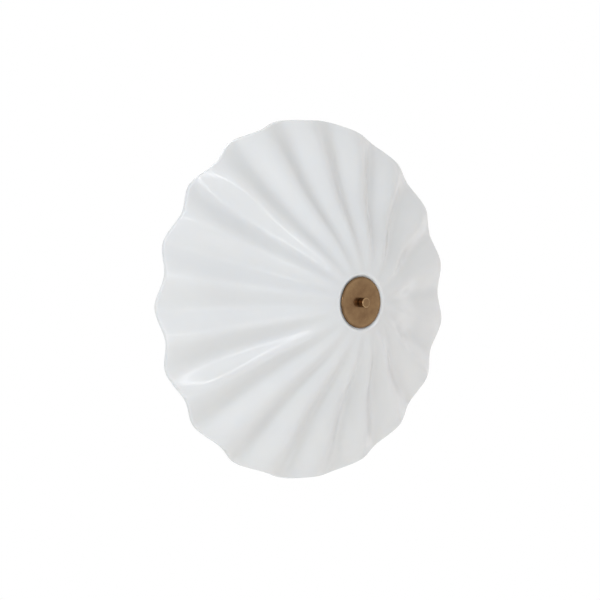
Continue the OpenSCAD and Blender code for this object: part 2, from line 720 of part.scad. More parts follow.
module terminal_block() color([0.92, 0.92, 0.88]) at_block() difference() {
    union() {
        translate([-1.5 * way_pitch, -way_l / 2 + block_inset, 0])
            cube([3 * way_pitch, way_l - 2 * block_inset, block_base_h]);
        for (w = ways) translate([w * way_pitch, 0, 0]) {
            translate([0, way_l / 2, way_h]) along_way() cylinder(d = way_d, h = way_l);
            for (s = [-1, 1]) translate([0, s * screw_offset, tower_start])
                cylinder(d = tower_d, h = tower_h - tower_start);
        }
    }
    for (w = ways) translate([w * way_pitch, 0, 0]) {
        translate([0, way_l / 2 + cut, way_h]) along_way()
            cylinder(d = sleeve_d + 2 * seat_gap, h = way_l + 2 * cut);
        for (s = [-1, 1]) translate([0, s * screw_offset, way_h])
            cylinder(d = terminal_screw_d + 2 * thread_gap, h = tower_h);
    }
    for (s = [-1, 1]) translate([s * way_pitch / 2, 0, 0]) {
        translate([0, 0, -cut]) cylinder(d = block_screw_d + 2 * thread_gap, h = block_base_h + 2 * cut);
        translate([0, 0, block_base_h]) cylinder(d = head_ratio * block_screw_d + 2 * seat_gap, h = tower_h);
    }
}

module terminal_sleeve() difference() {
    translate([0, way_l / 2 - sleeve_inset, 0]) along_way()
        cylinder(d = sleeve_d, h = way_l - 2 * sleeve_inset);
    translate([0, way_l / 2, 0]) along_way() cylinder(d = sleeve_bore_d, h = way_l);
    for (s = [-1, 1]) translate([0, s * screw_offset, 0])
        cylinder(d = terminal_screw_d + 2 * seat_gap, h = sleeve_d);
}

module terminal_sleeves() color([0.78, 0.66, 0.38]) at_block(way_h) for (w = ways)
    translate([w * way_pitch, 0, 0]) terminal_sleeve();

// Terminal screws stop short of the two wires in each sleeve
module terminal_screws() color(steel_c) at_block(way_h + wire_d / 2 + seat_gap) for (w = ways, s = [-1, 1])
    translate([w * way_pitch, s * screw_offset, 0]) difference() {
        cylinder(d = terminal_screw_d, h = terminal_screw_l);
        translate([-terminal_screw_d, -terminal_slot_w / 2, terminal_screw_l - terminal_slot_depth])
            cube([2 * terminal_screw_d, terminal_slot_w, cut]);
    }

module at_block_screws(z) for (s = [-1, 1]) at_block(z) translate([s * way_pitch / 2, 0, 0]) children();

module block_screws() color(steel_c) at_block_screws(block_base_h)
    screw(block_screw_d, block_base_h + pan_t + nut_h_ratio * block_screw_d + small_screw_tail,
        head_ratio * block_screw_d, head_h_ratio * block_screw_d);

module block_screw_nuts() color(steel_c) at_block_screws(-pan_t - nut_h_ratio * block_screw_d)
    hex_nut(nut_ratio * block_screw_d, block_screw_d + 2 * thread_gap, nut_h_ratio * block_screw_d);

module at_earth(z = 0) on_wall([-earth_left, earth_up, pan_depth + z]) children();

module earth_screw() color(brass_c) at_earth(earth_washer_t)
    screw(earth_screw_d, earth_washer_t + pan_t + nut_h_ratio * earth_screw_d + small_screw_tail,
        head_ratio * earth_screw_d, head_h_ratio * earth_screw_d);

module earth_nut() color(brass_c) at_earth(-pan_t - nut_h_ratio * earth_screw_d)
    hex_nut(nut_ratio * earth_screw_d, earth_screw_d + 2 * thread_gap, nut_h_ratio * earth_screw_d);

// Ring lug under the earth screw, with a barrel for the earth wire
module earth_lug() color(steel_c) at_earth() difference() {
    barrel_at = [-earth_screw_d - lug_reach, 0, wire_d / 2 + lug_lift];
    union() {
        cylinder(d = 2 * earth_screw_d, h = earth_washer_t);
        translate([-earth_screw_d - lug_neck_l, -lug_neck_w / 2, 0])
            cube([earth_screw_d, lug_neck_w, earth_washer_t]);
        translate(barrel_at) rotate([0, 90, 0]) cylinder(d = wire_d + 2 * lug_wall, h = lug_barrel_l);
    }
    translate([0, 0, -cut]) cylinder(d = earth_screw_d + 2 * thread_gap, h = earth_washer_t + 2 * cut);
    translate(barrel_at - [cut, 0, 0]) rotate([0, 90, 0])
        cylinder(d = wire_d + 2 * thread_gap, h = lug_barrel_l + 2 * cut);
}

// Wires: a smooth curve through a route's points, with a ring of corners swept along it
function spline(p, i, s) = let(a = p[max(i - 1, 0)], b = p[i], c = p[i + 1], d = p[min(i + 2, len(p) - 1)])
    0.5 * (2 * b + (c - a) * s + (2 * a - 5 * b + 4 * c - d) * s * s + (3 * b - a - 3 * c + d) * s * s * s);
function curve(p) = [
    for (i = [0:len(p) - 2], k = [0:wire_steps - 1]) spline(p, i, k / wire_steps),
    p[len(p) - 1]
];
function unit(v) = v / norm(v);
function direction(c, i) = unit(c[min(i + 1, len(c) - 1)] - c[max(i - 1, 0)]);
function across(n, t) = unit(n - (n * t) * t);

module wire(route) {
    c = curve(route);
    count = len(c);
    normals = [
        for (i = 0, n = across([1, 0, 0.2], direction(c, 0)); i < count;
            i = i + 1, n = across(n, direction(c, min(i, count - 1)))) n
    ];
    corners = [
        for (i = [0:count - 1], j = [0:wire_sides - 1])
            let(a = 360 * j / wire_sides, n = normals[i], b = cross(direction(c, i), n))
                c[i] + wire_d / 2 * (cos(a) * n + sin(a) * b)
    ];
    walls = [
        for (i = [0:count - 2], j = [0:wire_sides - 1])
            let(k = (j + 1) % wire_sides, p = i * wire_sides + j, q = i * wire_sides + k)
                each [[p, q + wire_sides, q], [p, p + wire_sides, q + wire_sides]]
    ];
    ends = [[for (j = [0:wire_sides - 1]) j], [for (j = [wire_sides - 1:-1:0]) (count - 1) * wire_sides + j]];
    polyhedron(points = corners, faces = concat(walls, ends), convexity = 6);
}

module live_wires() color([0.36, 0.20, 0.10]) on_wall() {
    wire(upper_live_route);
    wire(lower_live_route);
}

module neutral_wires() color([0.10, 0.26, 0.62]) on_wall() {
    wire(upper_neutral_route);
    wire(lower_neutral_route);
}

module earth_wire() color([0.55, 0.70, 0.10]) on_wall() wire(earth_route);

// Rubber grommet: two flanges with a groove between them for the pan's sheet
module cable_grommet() color(rubber_c) on_wall([-grommet_left, grommet_up, pan_depth - pan_t / 2])
    rotate_extrude() {
    in_r = grommet_bore_d / 2;
    neck_r = grommet_hole_d / 2 - seat_gap;
    flange_r = neck_r + grommet_flange_w;
    face_r = flange_r - grommet_bevel;
    groove = pan_t / 2 + seat_gap;
    face = groove + grommet_flange_t;
    edge = face - grommet_bevel;
    polygon([
        [in_r, -face], [face_r, -face], [flange_r, -edge], [flange_r, -groove],
        [neck_r, -groove], [neck_r, groove], [flange_r, groove], [flange_r, edge],
        [face_r, face], [in_r, face]
    ]);
}

glass_shade();
cover_disc();
finial_nut();
front_gasket();
rear_gasket();
glass_support_plate();
spacer_tube();
centre_rod();
rod_nuts();
rod_washers();
wall_bracket();
pan_screws();
pan_cap_nuts();
pan_screw_washers();
back_pan();
lampholder_brackets();
foot_screws();
foot_screw_nuts();
nipples();
nipple_nuts();
lampholder_bodies();
lampholder_inserts();
lampholder_shells();
lampholder_contacts();
upper_lamp_globe();
upper_lamp_collar();
upper_lamp_cap();
upper_lamp_insulator();
upper_lamp_contact();
lower_lamp_globe();
lower_lamp_collar();
lower_lamp_cap();
lower_lamp_insulator();
lower_lamp_contact();
terminal_block();
terminal_sleeves();
terminal_screws();
block_screws();
block_screw_nuts();
earth_screw();
earth_nut();
earth_lug();
live_wires();
neutral_wires();
earth_wire();
cable_grommet();
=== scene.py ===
# %% [markdown]
# # A wall lamp with a fluted opal glass shade
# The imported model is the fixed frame: it says where every piece of the lamp sits, in metres, with x to the
# right, y into the wall and z up. Each cell below dresses one kind of piece, and prints what it made.

# %% Load the frame
import json
import math
import bmesh
import bpy
import numpy as np
from mathutils import Matrix, Vector


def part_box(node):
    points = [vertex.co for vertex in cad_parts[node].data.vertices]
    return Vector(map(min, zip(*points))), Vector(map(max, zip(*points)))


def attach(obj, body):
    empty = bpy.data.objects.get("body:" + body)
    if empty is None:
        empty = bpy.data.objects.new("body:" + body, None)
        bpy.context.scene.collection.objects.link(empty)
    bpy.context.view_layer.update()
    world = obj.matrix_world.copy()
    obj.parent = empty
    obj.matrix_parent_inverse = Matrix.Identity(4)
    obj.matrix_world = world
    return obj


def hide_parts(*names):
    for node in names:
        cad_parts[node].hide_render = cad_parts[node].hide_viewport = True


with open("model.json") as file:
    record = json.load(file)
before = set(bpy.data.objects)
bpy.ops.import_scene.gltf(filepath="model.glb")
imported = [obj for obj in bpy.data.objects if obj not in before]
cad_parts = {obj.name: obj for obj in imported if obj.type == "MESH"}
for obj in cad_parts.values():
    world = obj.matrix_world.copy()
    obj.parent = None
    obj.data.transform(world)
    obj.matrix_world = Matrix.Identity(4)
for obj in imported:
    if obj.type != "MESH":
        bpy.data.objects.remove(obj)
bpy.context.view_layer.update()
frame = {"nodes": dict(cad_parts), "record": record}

MM = 0.001
body_of = {node: body for body, nodes in frame["record"]["behaviour"]["bodies"].items() for node in nodes}

# %% [markdown]
# ## Measuring the frame
# A dressed piece takes its place and its size from the solid that it stands for, so the two always agree. A
# node can hold several like solids, such as four screws, so one helper finds the loose solids of a node and
# their boxes. Nearly every piece is turned round an axis, so a second one says where each of them starts
# along it.

# %% Helpers that measure
OUT = Vector((0, -1, 0))
LEFT = Vector((-1, 0, 0))
RIGHT = Vector((1, 0, 0))
WELD_MM = 0.01


def solids(node):
    """The lowest and highest corner of each loose solid of a node, in millimetres, from left to right."""
    mesh = frame["nodes"][node].data
    points = np.array([v.co for v in mesh.vertices]) / MM
    first_at = {}
    parent = [first_at.setdefault(tuple(p), i) for i, p in enumerate((points / WELD_MM).round())]

    def leader(i):
        while parent[i] != i:
            parent[i] = parent[parent[i]]
            i = parent[i]
        return i

    for edge in mesh.edges:
        parent[leader(edge.vertices[0])] = leader(edge.vertices[1])
    groups = {}
    for i, point in enumerate(points):
        groups.setdefault(leader(i), []).append(point)
    boxes = [(np.min(g, axis=0), np.max(g, axis=0)) for g in groups.values()]
    return sorted(boxes, key=lambda box: [round(v) for v in box[0]])


def seats(node, axis=OUT):
    """The seats of a node's turned solids, as (start in metres, axis), and their radius and length in mm.
    With no axis, those over the rod point to the left and those under it to the right, as the lamps do."""
    found = []
    for low, high in solids(node):
        middle, half = (low + high) / 2, (high - low) / 2
        way = axis or (LEFT if middle[2] > 0 else RIGHT)
        along = np.abs(way)
        start = middle - np.array(way) * (half @ along)
        found.append((Vector(start * MM), way))
    return found, float(max(half * (1 - along))), float(2 * half @ along)


def height_of(node):
    """The two heights out of the wall between which a node lies, in millimetres."""
    low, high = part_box(node)
    return -high.y / MM, -low.y / MM


print("rod nuts:", seats("rod_nuts")[1:], "disc between", [round(h, 1) for h in height_of("cover_disc")])

# %% [markdown]
# ## Making meshes
# Pressed, spun, turned and threaded pieces are all made by one lathe. It takes an outline of (radius,
# height) points and turns it round an axis. Where a radius changes with the angle, as on a hex nut or a
# thread, the outline has its points for every angle. Real edges are never quite sharp, and a sharp one
# catches no light, so the corners of an outline are rounded first.

# %% Helpers that make meshes
SHARP_ANGLE = math.radians(38)
REACH_SHARE = 0.4
SPARE_SHARE = 0.15
WELD_M = 1e-7
NEARLY_UPRIGHT = 0.9


def curve_through(start, corner, end, steps):
    """Points of a round that leaves start towards the corner and comes from it to the end."""
    return [(1 - u) ** 2 * start + 2 * u * (1 - u) * corner + u * u * end
            for u in np.linspace(0, 1, steps)]


def rounded(points, radius, steps=5, closed=True):
    """An outline with its corners rounded. A spare point beside each round keeps the flat faces flat."""
    points = [np.array(p, float) for p in points]
    result = []
    for i, corner in enumerate(points):
        if not closed and i in (0, len(points) - 1):
            result.append(corner)
            continue
        before, after = points[i - 1] - corner, points[(i + 1) % len(points)] - corner
        reach = min(radius, REACH_SHARE * np.linalg.norm(before), REACH_SHARE * np.linalg.norm(after))
        before, after = before / np.linalg.norm(before), after / np.linalg.norm(after)
        start, end = corner + before * reach, corner + after * reach
        result.append(start + before * reach * SPARE_SHARE)
        result += curve_through(start, corner, end, steps)
        result.append(end + after * reach * SPARE_SHARE)
    return result


def placed(name, data):
    """An object of the scene for a mesh, a camera or a light."""
    thing = bpy.data.objects.new(name, data)
    bpy.context.scene.collection.objects.link(thing)
    return thing


def smooth_shaded(mesh):
    """Shades a mesh smooth and keeps its real edges sharp."""
    mesh.shade_smooth()
    mesh.set_sharp_from_angle(angle=SHARP_ANGLE)


def finished_mesh(name, points, faces):
    """An object from points in metres and faces, welded, smooth, and sharp only at real edges."""
    mesh = bpy.data.meshes.new(name)
    mesh.from_pydata(np.asarray(points).tolist(), [], faces)
    shell = bmesh.new()
    shell.from_mesh(mesh)
    bmesh.ops.remove_doubles(shell, verts=shell.verts, dist=WELD_M)
    bmesh.ops.recalc_face_normals(shell, faces=shell.faces)
    shell.to_mesh(mesh)
    shell.free()
    smooth_shaded(mesh)
    return placed(name, mesh)


def around(segments):
    """The angles of equal steps all the way round."""
    return 2 * math.pi * np.arange(segments) / segments


def lathe(name, outline, places, segments=96):
    """Turns an outline of (radius, height) rows in millimetres round each (start, axis) place. A row is
    one point, or one for every angle. The outline is closed unless it ends on the axis."""
    outline = np.array([np.broadcast_to(np.asarray(row, float), (segments, 2)) for row in outline])
    angle = around(segments)[None, :, None]
    rows = len(outline)
    bands = rows if outline[-1, 0, 0] > 0 else rows - 1
    here = np.arange(segments)
    following = (here + 1) % segments
    points, faces = [], []
    for start, axis in places:
        axis = np.array(axis, float)
        first = np.cross(axis, (0, 0, 1)) if abs(axis[2]) < NEARLY_UPRIGHT else np.array((1.0, 0, 0))
        second = np.cross(axis, first)
        ring = outline[..., :1] * (np.cos(angle) * first + np.sin(angle) * second) + outline[..., 1:] * axis
        base = len(points) * rows * segments
        points.append((ring * MM + np.array(start)).reshape(-1, 3))
        for row in range(bands):
            a, b = base + row * segments, base + (row + 1) % rows * segments
            faces += np.stack([a + here, a + following, b + following, b + here], 1).tolist()
    return finished_mesh(name, np.concatenate(points), faces)


def dress(piece, slot, *nodes):
    """Gives a piece the material of its slot, hides its nodes, and puts it on their body."""
    piece.data.materials.append(materials[slot])
    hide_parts(*nodes)
    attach(piece, body_of[nodes[0]])
    print(piece.name, "has", len(piece.data.vertices), "points and rides on", body_of[nodes[0]])


print("edges sharper than", round(math.degrees(SHARP_ANGLE)), "degrees stay sharp")

# %% [markdown]
# ## Making materials
# A material here is the Principled shader with a few nodes in front of it. One function turns the sRGB hex
# value that a colour picker gives into the linear numbers that the shader wants. One adds a node with its
# settings and links. A new material starts with its shader, whose inputs are fed last. Patterns are worked
# out in object space, in metres, so the scale of a noise is one over the size of its features.

# %% Helpers that make materials
materials = {}


def linear(hex_value):
    """sRGB hex to linear red, green, blue and alpha."""
    parts = [int(hex_value[i:i + 2], 16) / 255 for i in (1, 3, 5)]
    return tuple(c / 12.92 if c <= 0.04045 else ((c + 0.055) / 1.055) ** 2.4 for c in parts) + (1.0,)


def feed(node, sockets):
    """Sets inputs of a node, each to a value or to the output that feeds it."""
    for key, value in sockets.items():
        if isinstance(value, bpy.types.NodeSocket):
            node.id_data.links.new(value, node.inputs[key])
        else:
            node.inputs[key].default_value = value


def add(tree, kind, sockets=None, **settings):
    """Adds a node with its settings and feeds it."""
    node = tree.nodes.new(kind)
    for key, value in settings.items():
        setattr(node, key, value)
    feed(node, sockets or {})
    return node


def new_material(slot, name):
    """A material for a slot, as its nodes, the output that gives each point's place, and its shader."""
    material = bpy.data.materials.new(name)
    material.use_nodes = True
    materials[slot] = material
    tree = material.node_tree
    tree.nodes.clear()
    shader = add(tree, "ShaderNodeBsdfPrincipled")
    add(tree, "ShaderNodeOutputMaterial", {"Surface": shader.outputs[0]})
    return tree, add(tree, "ShaderNodeTexCoord").outputs["Object"], shader


def per(size_mm):
    """The scale at which a texture's features are this large."""
    return 1 / (size_mm * MM)


print("mid grey is", round(linear("#808080")[0], 3), "in linear light")

# %% [markdown]
# ## Camera
# The view was matched to the outline of the wavy rim: the camera stands 39 degrees to the lamp's left and a
# little above its middle, 1.65 m away. A long lens keeps the rim's ellipse as it is in a product picture.
# The camera aims a little beside the rim's middle, as the picture's frame does.

# %% Camera
CAMERA_AZIMUTH = -38.97
CAMERA_ELEVATION = 2.73
CAMERA_DISTANCE = 1.6527
LENS_MM = 102.0
SENSOR_MM = 36.0
RIM_MIDDLE = Vector((0, -0.034, 0))
AIM_RIGHT = -0.00943
AIM_UP = -0.00058


def direction(azimuth, elevation):
    """The way to what is this many degrees to the right of straight in front, and up."""
    a, e = math.radians(azimuth), math.radians(elevation)
    return Vector((math.sin(a) * math.cos(e), -math.cos(a) * math.cos(e), math.sin(e)))


to_camera = direction(CAMERA_AZIMUTH, CAMERA_ELEVATION)
picture_right = Vector((0, 0, 1)).cross(to_camera).normalized()
picture_up = to_camera.cross(picture_right)
camera_data = bpy.data.cameras.new("camera")
camera_data.sensor_width = SENSOR_MM
camera_data.lens = LENS_MM
camera = placed("camera", camera_data)
camera.location = RIM_MIDDLE + to_camera * CAMERA_DISTANCE
aim = RIM_MIDDLE + picture_right * AIM_RIGHT + picture_up * AIM_UP
camera.rotation_euler = (camera.location - aim).to_track_quat("Z", "Y").to_euler()
bpy.context.scene.camera = camera
print("camera at", [round(v, 3) for v in camera.location])

# %% [markdown]
# ## Floor and room
# The lamp hangs over a pale floor in a white room. Rays from the camera, and those mirrored or let through
# by a surface, see the room plain white and the floor lifted by a glow of its own. The light that the room
# gives to surfaces is lower, so that pale glass keeps its shading and the floor keeps its shadow.

# %% Floor and room
FLOOR_BELOW = 1.25
FLOOR_RADIUS_MM = 2600
FLOOR_LIFT = 0.45
MOTTLE_MM = 400
ROOM_LIGHT = 0.3


def looking(tree):
    """1 for a ray from the camera, or one mirrored or let through by a surface, and 0 for any other."""
    rays = add(tree, "ShaderNodeLightPath").outputs
    seen = rays["Is Camera Ray"]
    for kind in ("Is Glossy Ray", "Is Transmission Ray"):
        seen = add(tree, "ShaderNodeMath", {0: seen, 1: rays[kind]}, operation="MAXIMUM").outputs[0]
    return seen


tree, spot, shader = new_material("floor", "matt_floor_paint")
mottle = add(tree, "ShaderNodeTexNoise", {"Vector": spot, "Scale": per(MOTTLE_MM)})
tone = add(tree, "ShaderNodeMix", {
    "Factor": mottle.outputs["Fac"], "A": linear("#E9E9E7"), "B": linear("#EFEFED")}, data_type="RGBA")
lift = add(tree, "ShaderNodeMath", {0: looking(tree), 1: FLOOR_LIFT}, operation="MULTIPLY")
feed(shader, {
    "Base Color": tone.outputs["Result"], "Roughness": 0.8, "Specular IOR Level": 0.2,
    "Emission Color": linear("#FFFFFF"), "Emission Strength": lift.outputs[0]})
floor = lathe("floor", [(FLOOR_RADIUS_MM, 0), (FLOOR_RADIUS_MM / 2, 0), (0, 0)],
              [(Vector((0, 0, -FLOOR_BELOW)), Vector((0, 0, 1)))])
floor.data.materials.append(materials["floor"])

world = bpy.data.worlds.new("white_room")
bpy.context.scene.world = world
world.use_nodes = True
tree = world.node_tree
tree.nodes.clear()
strength = add(tree, "ShaderNodeMapRange", {"Value": looking(tree), "To Min": ROOM_LIGHT, "To Max": 1.0})
room = add(tree, "ShaderNodeBackground", {"Color": linear("#FFFFFF"), "Strength": strength.outputs[0]})
add(tree, "ShaderNodeOutputWorld", {"Surface": room.outputs[0]})
bpy.context.scene.view_settings.view_transform = "Standard"
print("the room gives light of strength", ROOM_LIGHT)

# %% [markdown]
# ## Lights
# Plain soft boxes. The strongest stand on the camera's side, so that each flute has a bright flank and a
# dark one, and weaker ones on the right and behind keep the shadows open. Polished glass would mirror every
# box as a hard patch, so they only shine. Dim cards are there to be mirrored instead: a long one with a
# small one at each end draws the thin bright lines along the flutes, and two more catch the brass edge and
# the pieces seen from behind. Each is placed by the direction that its light comes from, in degrees: to the
# right of straight in front, and up. Then come a box's watts and colour, or a card's size in metres and its
# watts.

# %% Lights
LAMP_MIDDLE = Vector((0, -0.07, 0))
LIGHT_DISTANCE = 2.4
SHINING_SIZE = (1.2, 1.2)
SHINING_BOXES = {
    "left_box": (-60, 15, 21.5, "#F2F6FF"),
    "high_left_box": (-35, 50, 13.2, "#F8FCFF"),
    "low_left_box": (-35, -20, 11.0, "#FFFBF4"),
    "low_right_box": (65, -20, 16.4, "#FFFCFF"),
    "high_right_box": (85, 48, 7.6, "#FFFAF0"),
    "far_left_box": (-110, -20, 1.5, "#C8DCFF"),
    "back_right_box": (150, 35, 12.0, "#FFFFFF"),
    "back_left_box": (-150, 10, 9.0, "#FFFFFF"),
}
MIRRORED_BOXES = {
    "long_card": (-35, 12, (0.95, 0.26), 3.0),
    "inner_card": (-20, 12, (0.3, 0.3), 0.9),
    "outer_card": (-50, 13, (0.3, 0.3), 1.3),
    "edge_card": (-53, -2, (0.45, 0.45), 1.8),
    "back_card": (170, 30, (1.0, 1.0), 4.0),
}


def soft_box(name, azimuth, elevation, size, watts, colour="#FFFFFF"):
    """An oval area light that shines at the lamp from a direction in degrees."""
    way = direction(azimuth, elevation)
    data = bpy.data.lights.new(name, "AREA")
    data.shape = "ELLIPSE"
    data.size, data.size_y = size
    data.energy = watts
    data.color = linear(colour)[:3]
    light = placed(name, data)
    light.location = LAMP_MIDDLE + way * LIGHT_DISTANCE
    light.rotation_euler = way.to_track_quat("Z", "Y").to_euler()
    return light


for name, (azimuth, elevation, watts, colour) in SHINING_BOXES.items():
    soft_box(name, azimuth, elevation, SHINING_SIZE, watts, colour).visible_glossy = False
for name, values in MIRRORED_BOXES.items():
    soft_box(name, *values).visible_diffuse = False
print(len(SHINING_BOXES), "boxes that shine and", len(MIRRORED_BOXES), "to be mirrored")

# %% [markdown]
# ## Opal glass
# Soda-lime glass made milky by fine crystals, pressed hot in a mould and fire-polished. It scatters light a
# few millimetres deep, which softens its shading, and its polished skin mirrors the room. The mould and the
# plunger leave fine waves that run along the flutes, and these break a long highlight into thin parallel
# lines. The noise is read on a cylinder round the rod, so that its waves run from the seat to the rim with
# no seam.

# %% Opal glass
WAVE_MM = 2.5
WAVE_HEIGHT_MM = 0.025
STRETCH = 14
CYLINDER_MM = 100
CLOUD_MM = 45
LIGHT_DEPTH_MM = 4.0

tree, spot, shader = new_material("opal_glass", "pressed_opal_glass")
flat = add(tree, "ShaderNodeVectorMath", {0: spot, 1: (1, 0, 1)}, operation="MULTIPLY")
way_out = add(tree, "ShaderNodeVectorMath", {0: flat.outputs[0]}, operation="NORMALIZE")
distance = add(tree, "ShaderNodeVectorMath", {0: flat.outputs[0]}, operation="LENGTH")
along = add(tree, "ShaderNodeMath", {0: distance.outputs["Value"], 1: 1 / STRETCH}, operation="MULTIPLY")
around_rod = add(tree, "ShaderNodeVectorMath", {
    0: way_out.outputs[0], 1: (CYLINDER_MM * MM,) * 3}, operation="MULTIPLY")
streak_spot = add(tree, "ShaderNodeCombineXYZ", {"Y": along.outputs[0]})
streak_spot = add(tree, "ShaderNodeVectorMath", {
    0: streak_spot.outputs[0], 1: around_rod.outputs[0]}, operation="ADD")
streaks = add(tree, "ShaderNodeTexNoise", {
    "Vector": streak_spot.outputs[0], "Scale": per(WAVE_MM), "Detail": 1.0})
waves = add(tree, "ShaderNodeBump", {"Height": streaks.outputs["Fac"], "Distance": WAVE_HEIGHT_MM * MM})
cloud = add(tree, "ShaderNodeTexNoise", {"Vector": spot, "Scale": per(CLOUD_MM)})
tone = add(tree, "ShaderNodeMix", {
    "Factor": cloud.outputs["Fac"], "A": linear("#E2E3E4"), "B": linear("#E6E7E6")}, data_type="RGBA")
feed(shader, {
    "Base Color": tone.outputs["Result"], "Normal": waves.outputs["Normal"], "Roughness": 0.1, "IOR": 1.5,
    "Specular IOR Level": 0.34, "Subsurface Weight": 1.0, "Subsurface Radius": (1.0, 0.95, 0.9),
    "Subsurface Scale": LIGHT_DEPTH_MM * MM})
print("opal glass with waves", WAVE_MM, "mm wide")

# %% [markdown]
# ## Aged brass
# Turned brass, brushed to a satin and darkened with age. The darkening is thinnest where a cloth rubs, at
# the edges. A painted shade darkens the disc's side and the finial's foot. The turned pieces carry how worn
# each point is, or how deep in painted shade, from 0 to 1 with 0.5 for neither, and the material reads it.
# Fine rings from the lathe spread its highlights.

# %% Aged brass
RING_MM = 0.35
RING_HEIGHT_MM = 0.004
PATINA_MM = 9
UNTOUCHED = 0.5

tree, spot, shader = new_material("aged_brass", "darkened_satin_brass")
flat = add(tree, "ShaderNodeVectorMath", {0: spot, 1: (1, 0, 1)}, operation="MULTIPLY")
distance = add(tree, "ShaderNodeVectorMath", {0: flat.outputs[0]}, operation="LENGTH")
rings = add(tree, "ShaderNodeCombineXYZ", {"X": distance.outputs["Value"]})
turning = add(tree, "ShaderNodeTexNoise", {"Vector": rings.outputs[0], "Scale": per(RING_MM), "Detail": 2.0})
lathe_marks = add(tree, "ShaderNodeBump", {"Height": turning.outputs["Fac"], "Distance": RING_HEIGHT_MM * MM})
patina = add(tree, "ShaderNodeTexNoise", {
    "Vector": spot, "Scale": per(PATINA_MM), "Detail": 5.0, "Roughness": 0.65})
spread = add(tree, "ShaderNodeMapRange", {"Value": patina.outputs["Fac"], "From Min": 0.35, "From Max": 0.65})
tone = add(tree, "ShaderNodeMix", {
    "Factor": spread.outputs[0], "A": linear("#775C42"), "B": linear("#896D4F")}, data_type="RGBA")
wear_and_shade = add(tree, "ShaderNodeAttribute", attribute_name="wear_and_shade").outputs["Fac"]
# Above 0.5 the brass is worn lighter; below it a painted shade darkens it towards a deep brown.
bright = add(tree, "ShaderNodeMapRange", {"Value": wear_and_shade, "From Min": UNTOUCHED, "From Max": 1.0})
dark = add(tree, "ShaderNodeMapRange", {"Value": wear_and_shade, "From Min": UNTOUCHED, "From Max": 0.0})
tone = add(tree, "ShaderNodeMix", {
    "Factor": bright.outputs[0], "A": tone.outputs["Result"], "B": linear("#DDBE90")}, data_type="RGBA")
tone = add(tree, "ShaderNodeMix", {
    "Factor": dark.outputs[0], "A": tone.outputs["Result"], "B": linear("#403121")}, data_type="RGBA")
satin = add(tree, "ShaderNodeMapRange", {"Value": patina.outputs["Fac"], "To Min": 0.18, "To Max": 0.28})
feed(shader, {
    "Base Color": tone.outputs["Result"], "Metallic": 1.0, "Roughness": satin.outputs[0],
    "Normal": lathe_marks.outputs["Normal"]})
print("aged brass with rings", RING_MM, "mm wide")

# %% [markdown]
# ## Plated and bare metals
# Zinc plating on steel is a bright grey with a faint blue and straw tint from its passivation, and it dulls
# in patches. Nickel is smoother and warmer. Turned brass and tinned copper complete the set. They differ in
# colour and polish and not in pattern, so a loop makes them. A metal keeps the default IOR, because its
# colour sets how it mirrors.

# %% Plated and bare metals
METALS = {
    "zinc_plated_steel": ("bright_zinc_plating", "#A9ADB3", "#BFBFB9", 0.26, 0.42),
    "nickel_plated_brass": ("bright_nickel_plating", "#BDB8AC", "#CCC8BE", 0.14, 0.24),
    "raw_brass": ("turned_brass", "#B8954E", "#CBAC68", 0.22, 0.36),
    "tinned_copper": ("hot_tinned_copper", "#A9A8A2", "#BDBCB5", 0.32, 0.5),
}
PATCH_MM = 6
GRAIN_MM = 0.5
GRAIN_HEIGHT_MM = 0.006

for slot, (name, dark, light, smooth, dull) in METALS.items():
    tree, spot, shader = new_material(slot, name)
    patches = add(tree, "ShaderNodeTexNoise", {"Vector": spot, "Scale": per(PATCH_MM), "Detail": 4.0})
    grain = add(tree, "ShaderNodeTexNoise", {"Vector": spot, "Scale": per(GRAIN_MM), "Detail": 2.0})
    bump = add(tree, "ShaderNodeBump", {"Height": grain.outputs["Fac"], "Distance": GRAIN_HEIGHT_MM * MM})
    tone = add(tree, "ShaderNodeMix", {
        "Factor": patches.outputs["Fac"], "A": linear(dark), "B": linear(light)}, data_type="RGBA")
    polish = add(tree, "ShaderNodeMapRange", {
        "Value": patches.outputs["Fac"], "To Min": smooth, "To Max": dull})
    feed(shader, {
        "Base Color": tone.outputs["Result"], "Metallic": 1.0, "Roughness": polish.outputs[0],
        "Normal": bump.outputs["Normal"]})
print("metals:", ", ".join(METALS))

# %% [markdown]
# ## Powder coat
# The pan is steel under a baked white powder coat. The powder flows together into a skin with soft dimples
# about a millimetre apart, which a maker calls orange peel, and this breaks up its reflections.

# %% Powder coat
PEEL_MM = 1.4
PEEL_HEIGHT_MM = 0.02
COAT_DRIFT_MM = 60

tree, spot, shader = new_material("white_painted_steel", "white_powder_coat")
peel = add(tree, "ShaderNodeTexNoise", {"Vector": spot, "Scale": per(PEEL_MM), "Detail": 0.0})
dimples = add(tree, "ShaderNodeBump", {"Height": peel.outputs["Fac"], "Distance": PEEL_HEIGHT_MM * MM})
drift = add(tree, "ShaderNodeTexNoise", {"Vector": spot, "Scale": per(COAT_DRIFT_MM)})
tone = add(tree, "ShaderNodeMix", {
    "Factor": drift.outputs["Fac"], "A": linear("#E4E4E0"), "B": linear("#EAEAE7")}, data_type="RGBA")
feed(shader, {
    "Base Color": tone.outputs["Result"], "Roughness": 0.36, "IOR": 1.5, "Normal": dimples.outputs["Normal"]})
print("powder coat with dimples", PEEL_MM, "mm apart")

# %% [markdown]
# ## Moulded, fired and punched stuff
# Thermoplastic, nylon, rubber, fibre, steatite, lamp glass and PVC. Each is a dull or glossy solid whose
# colour drifts a little and whose skin has a grain of its own size, so one loop makes them from a table:
# colours, roughness, IOR, how far light goes in, the size of the grain and its height. All sizes are in
# millimetres.

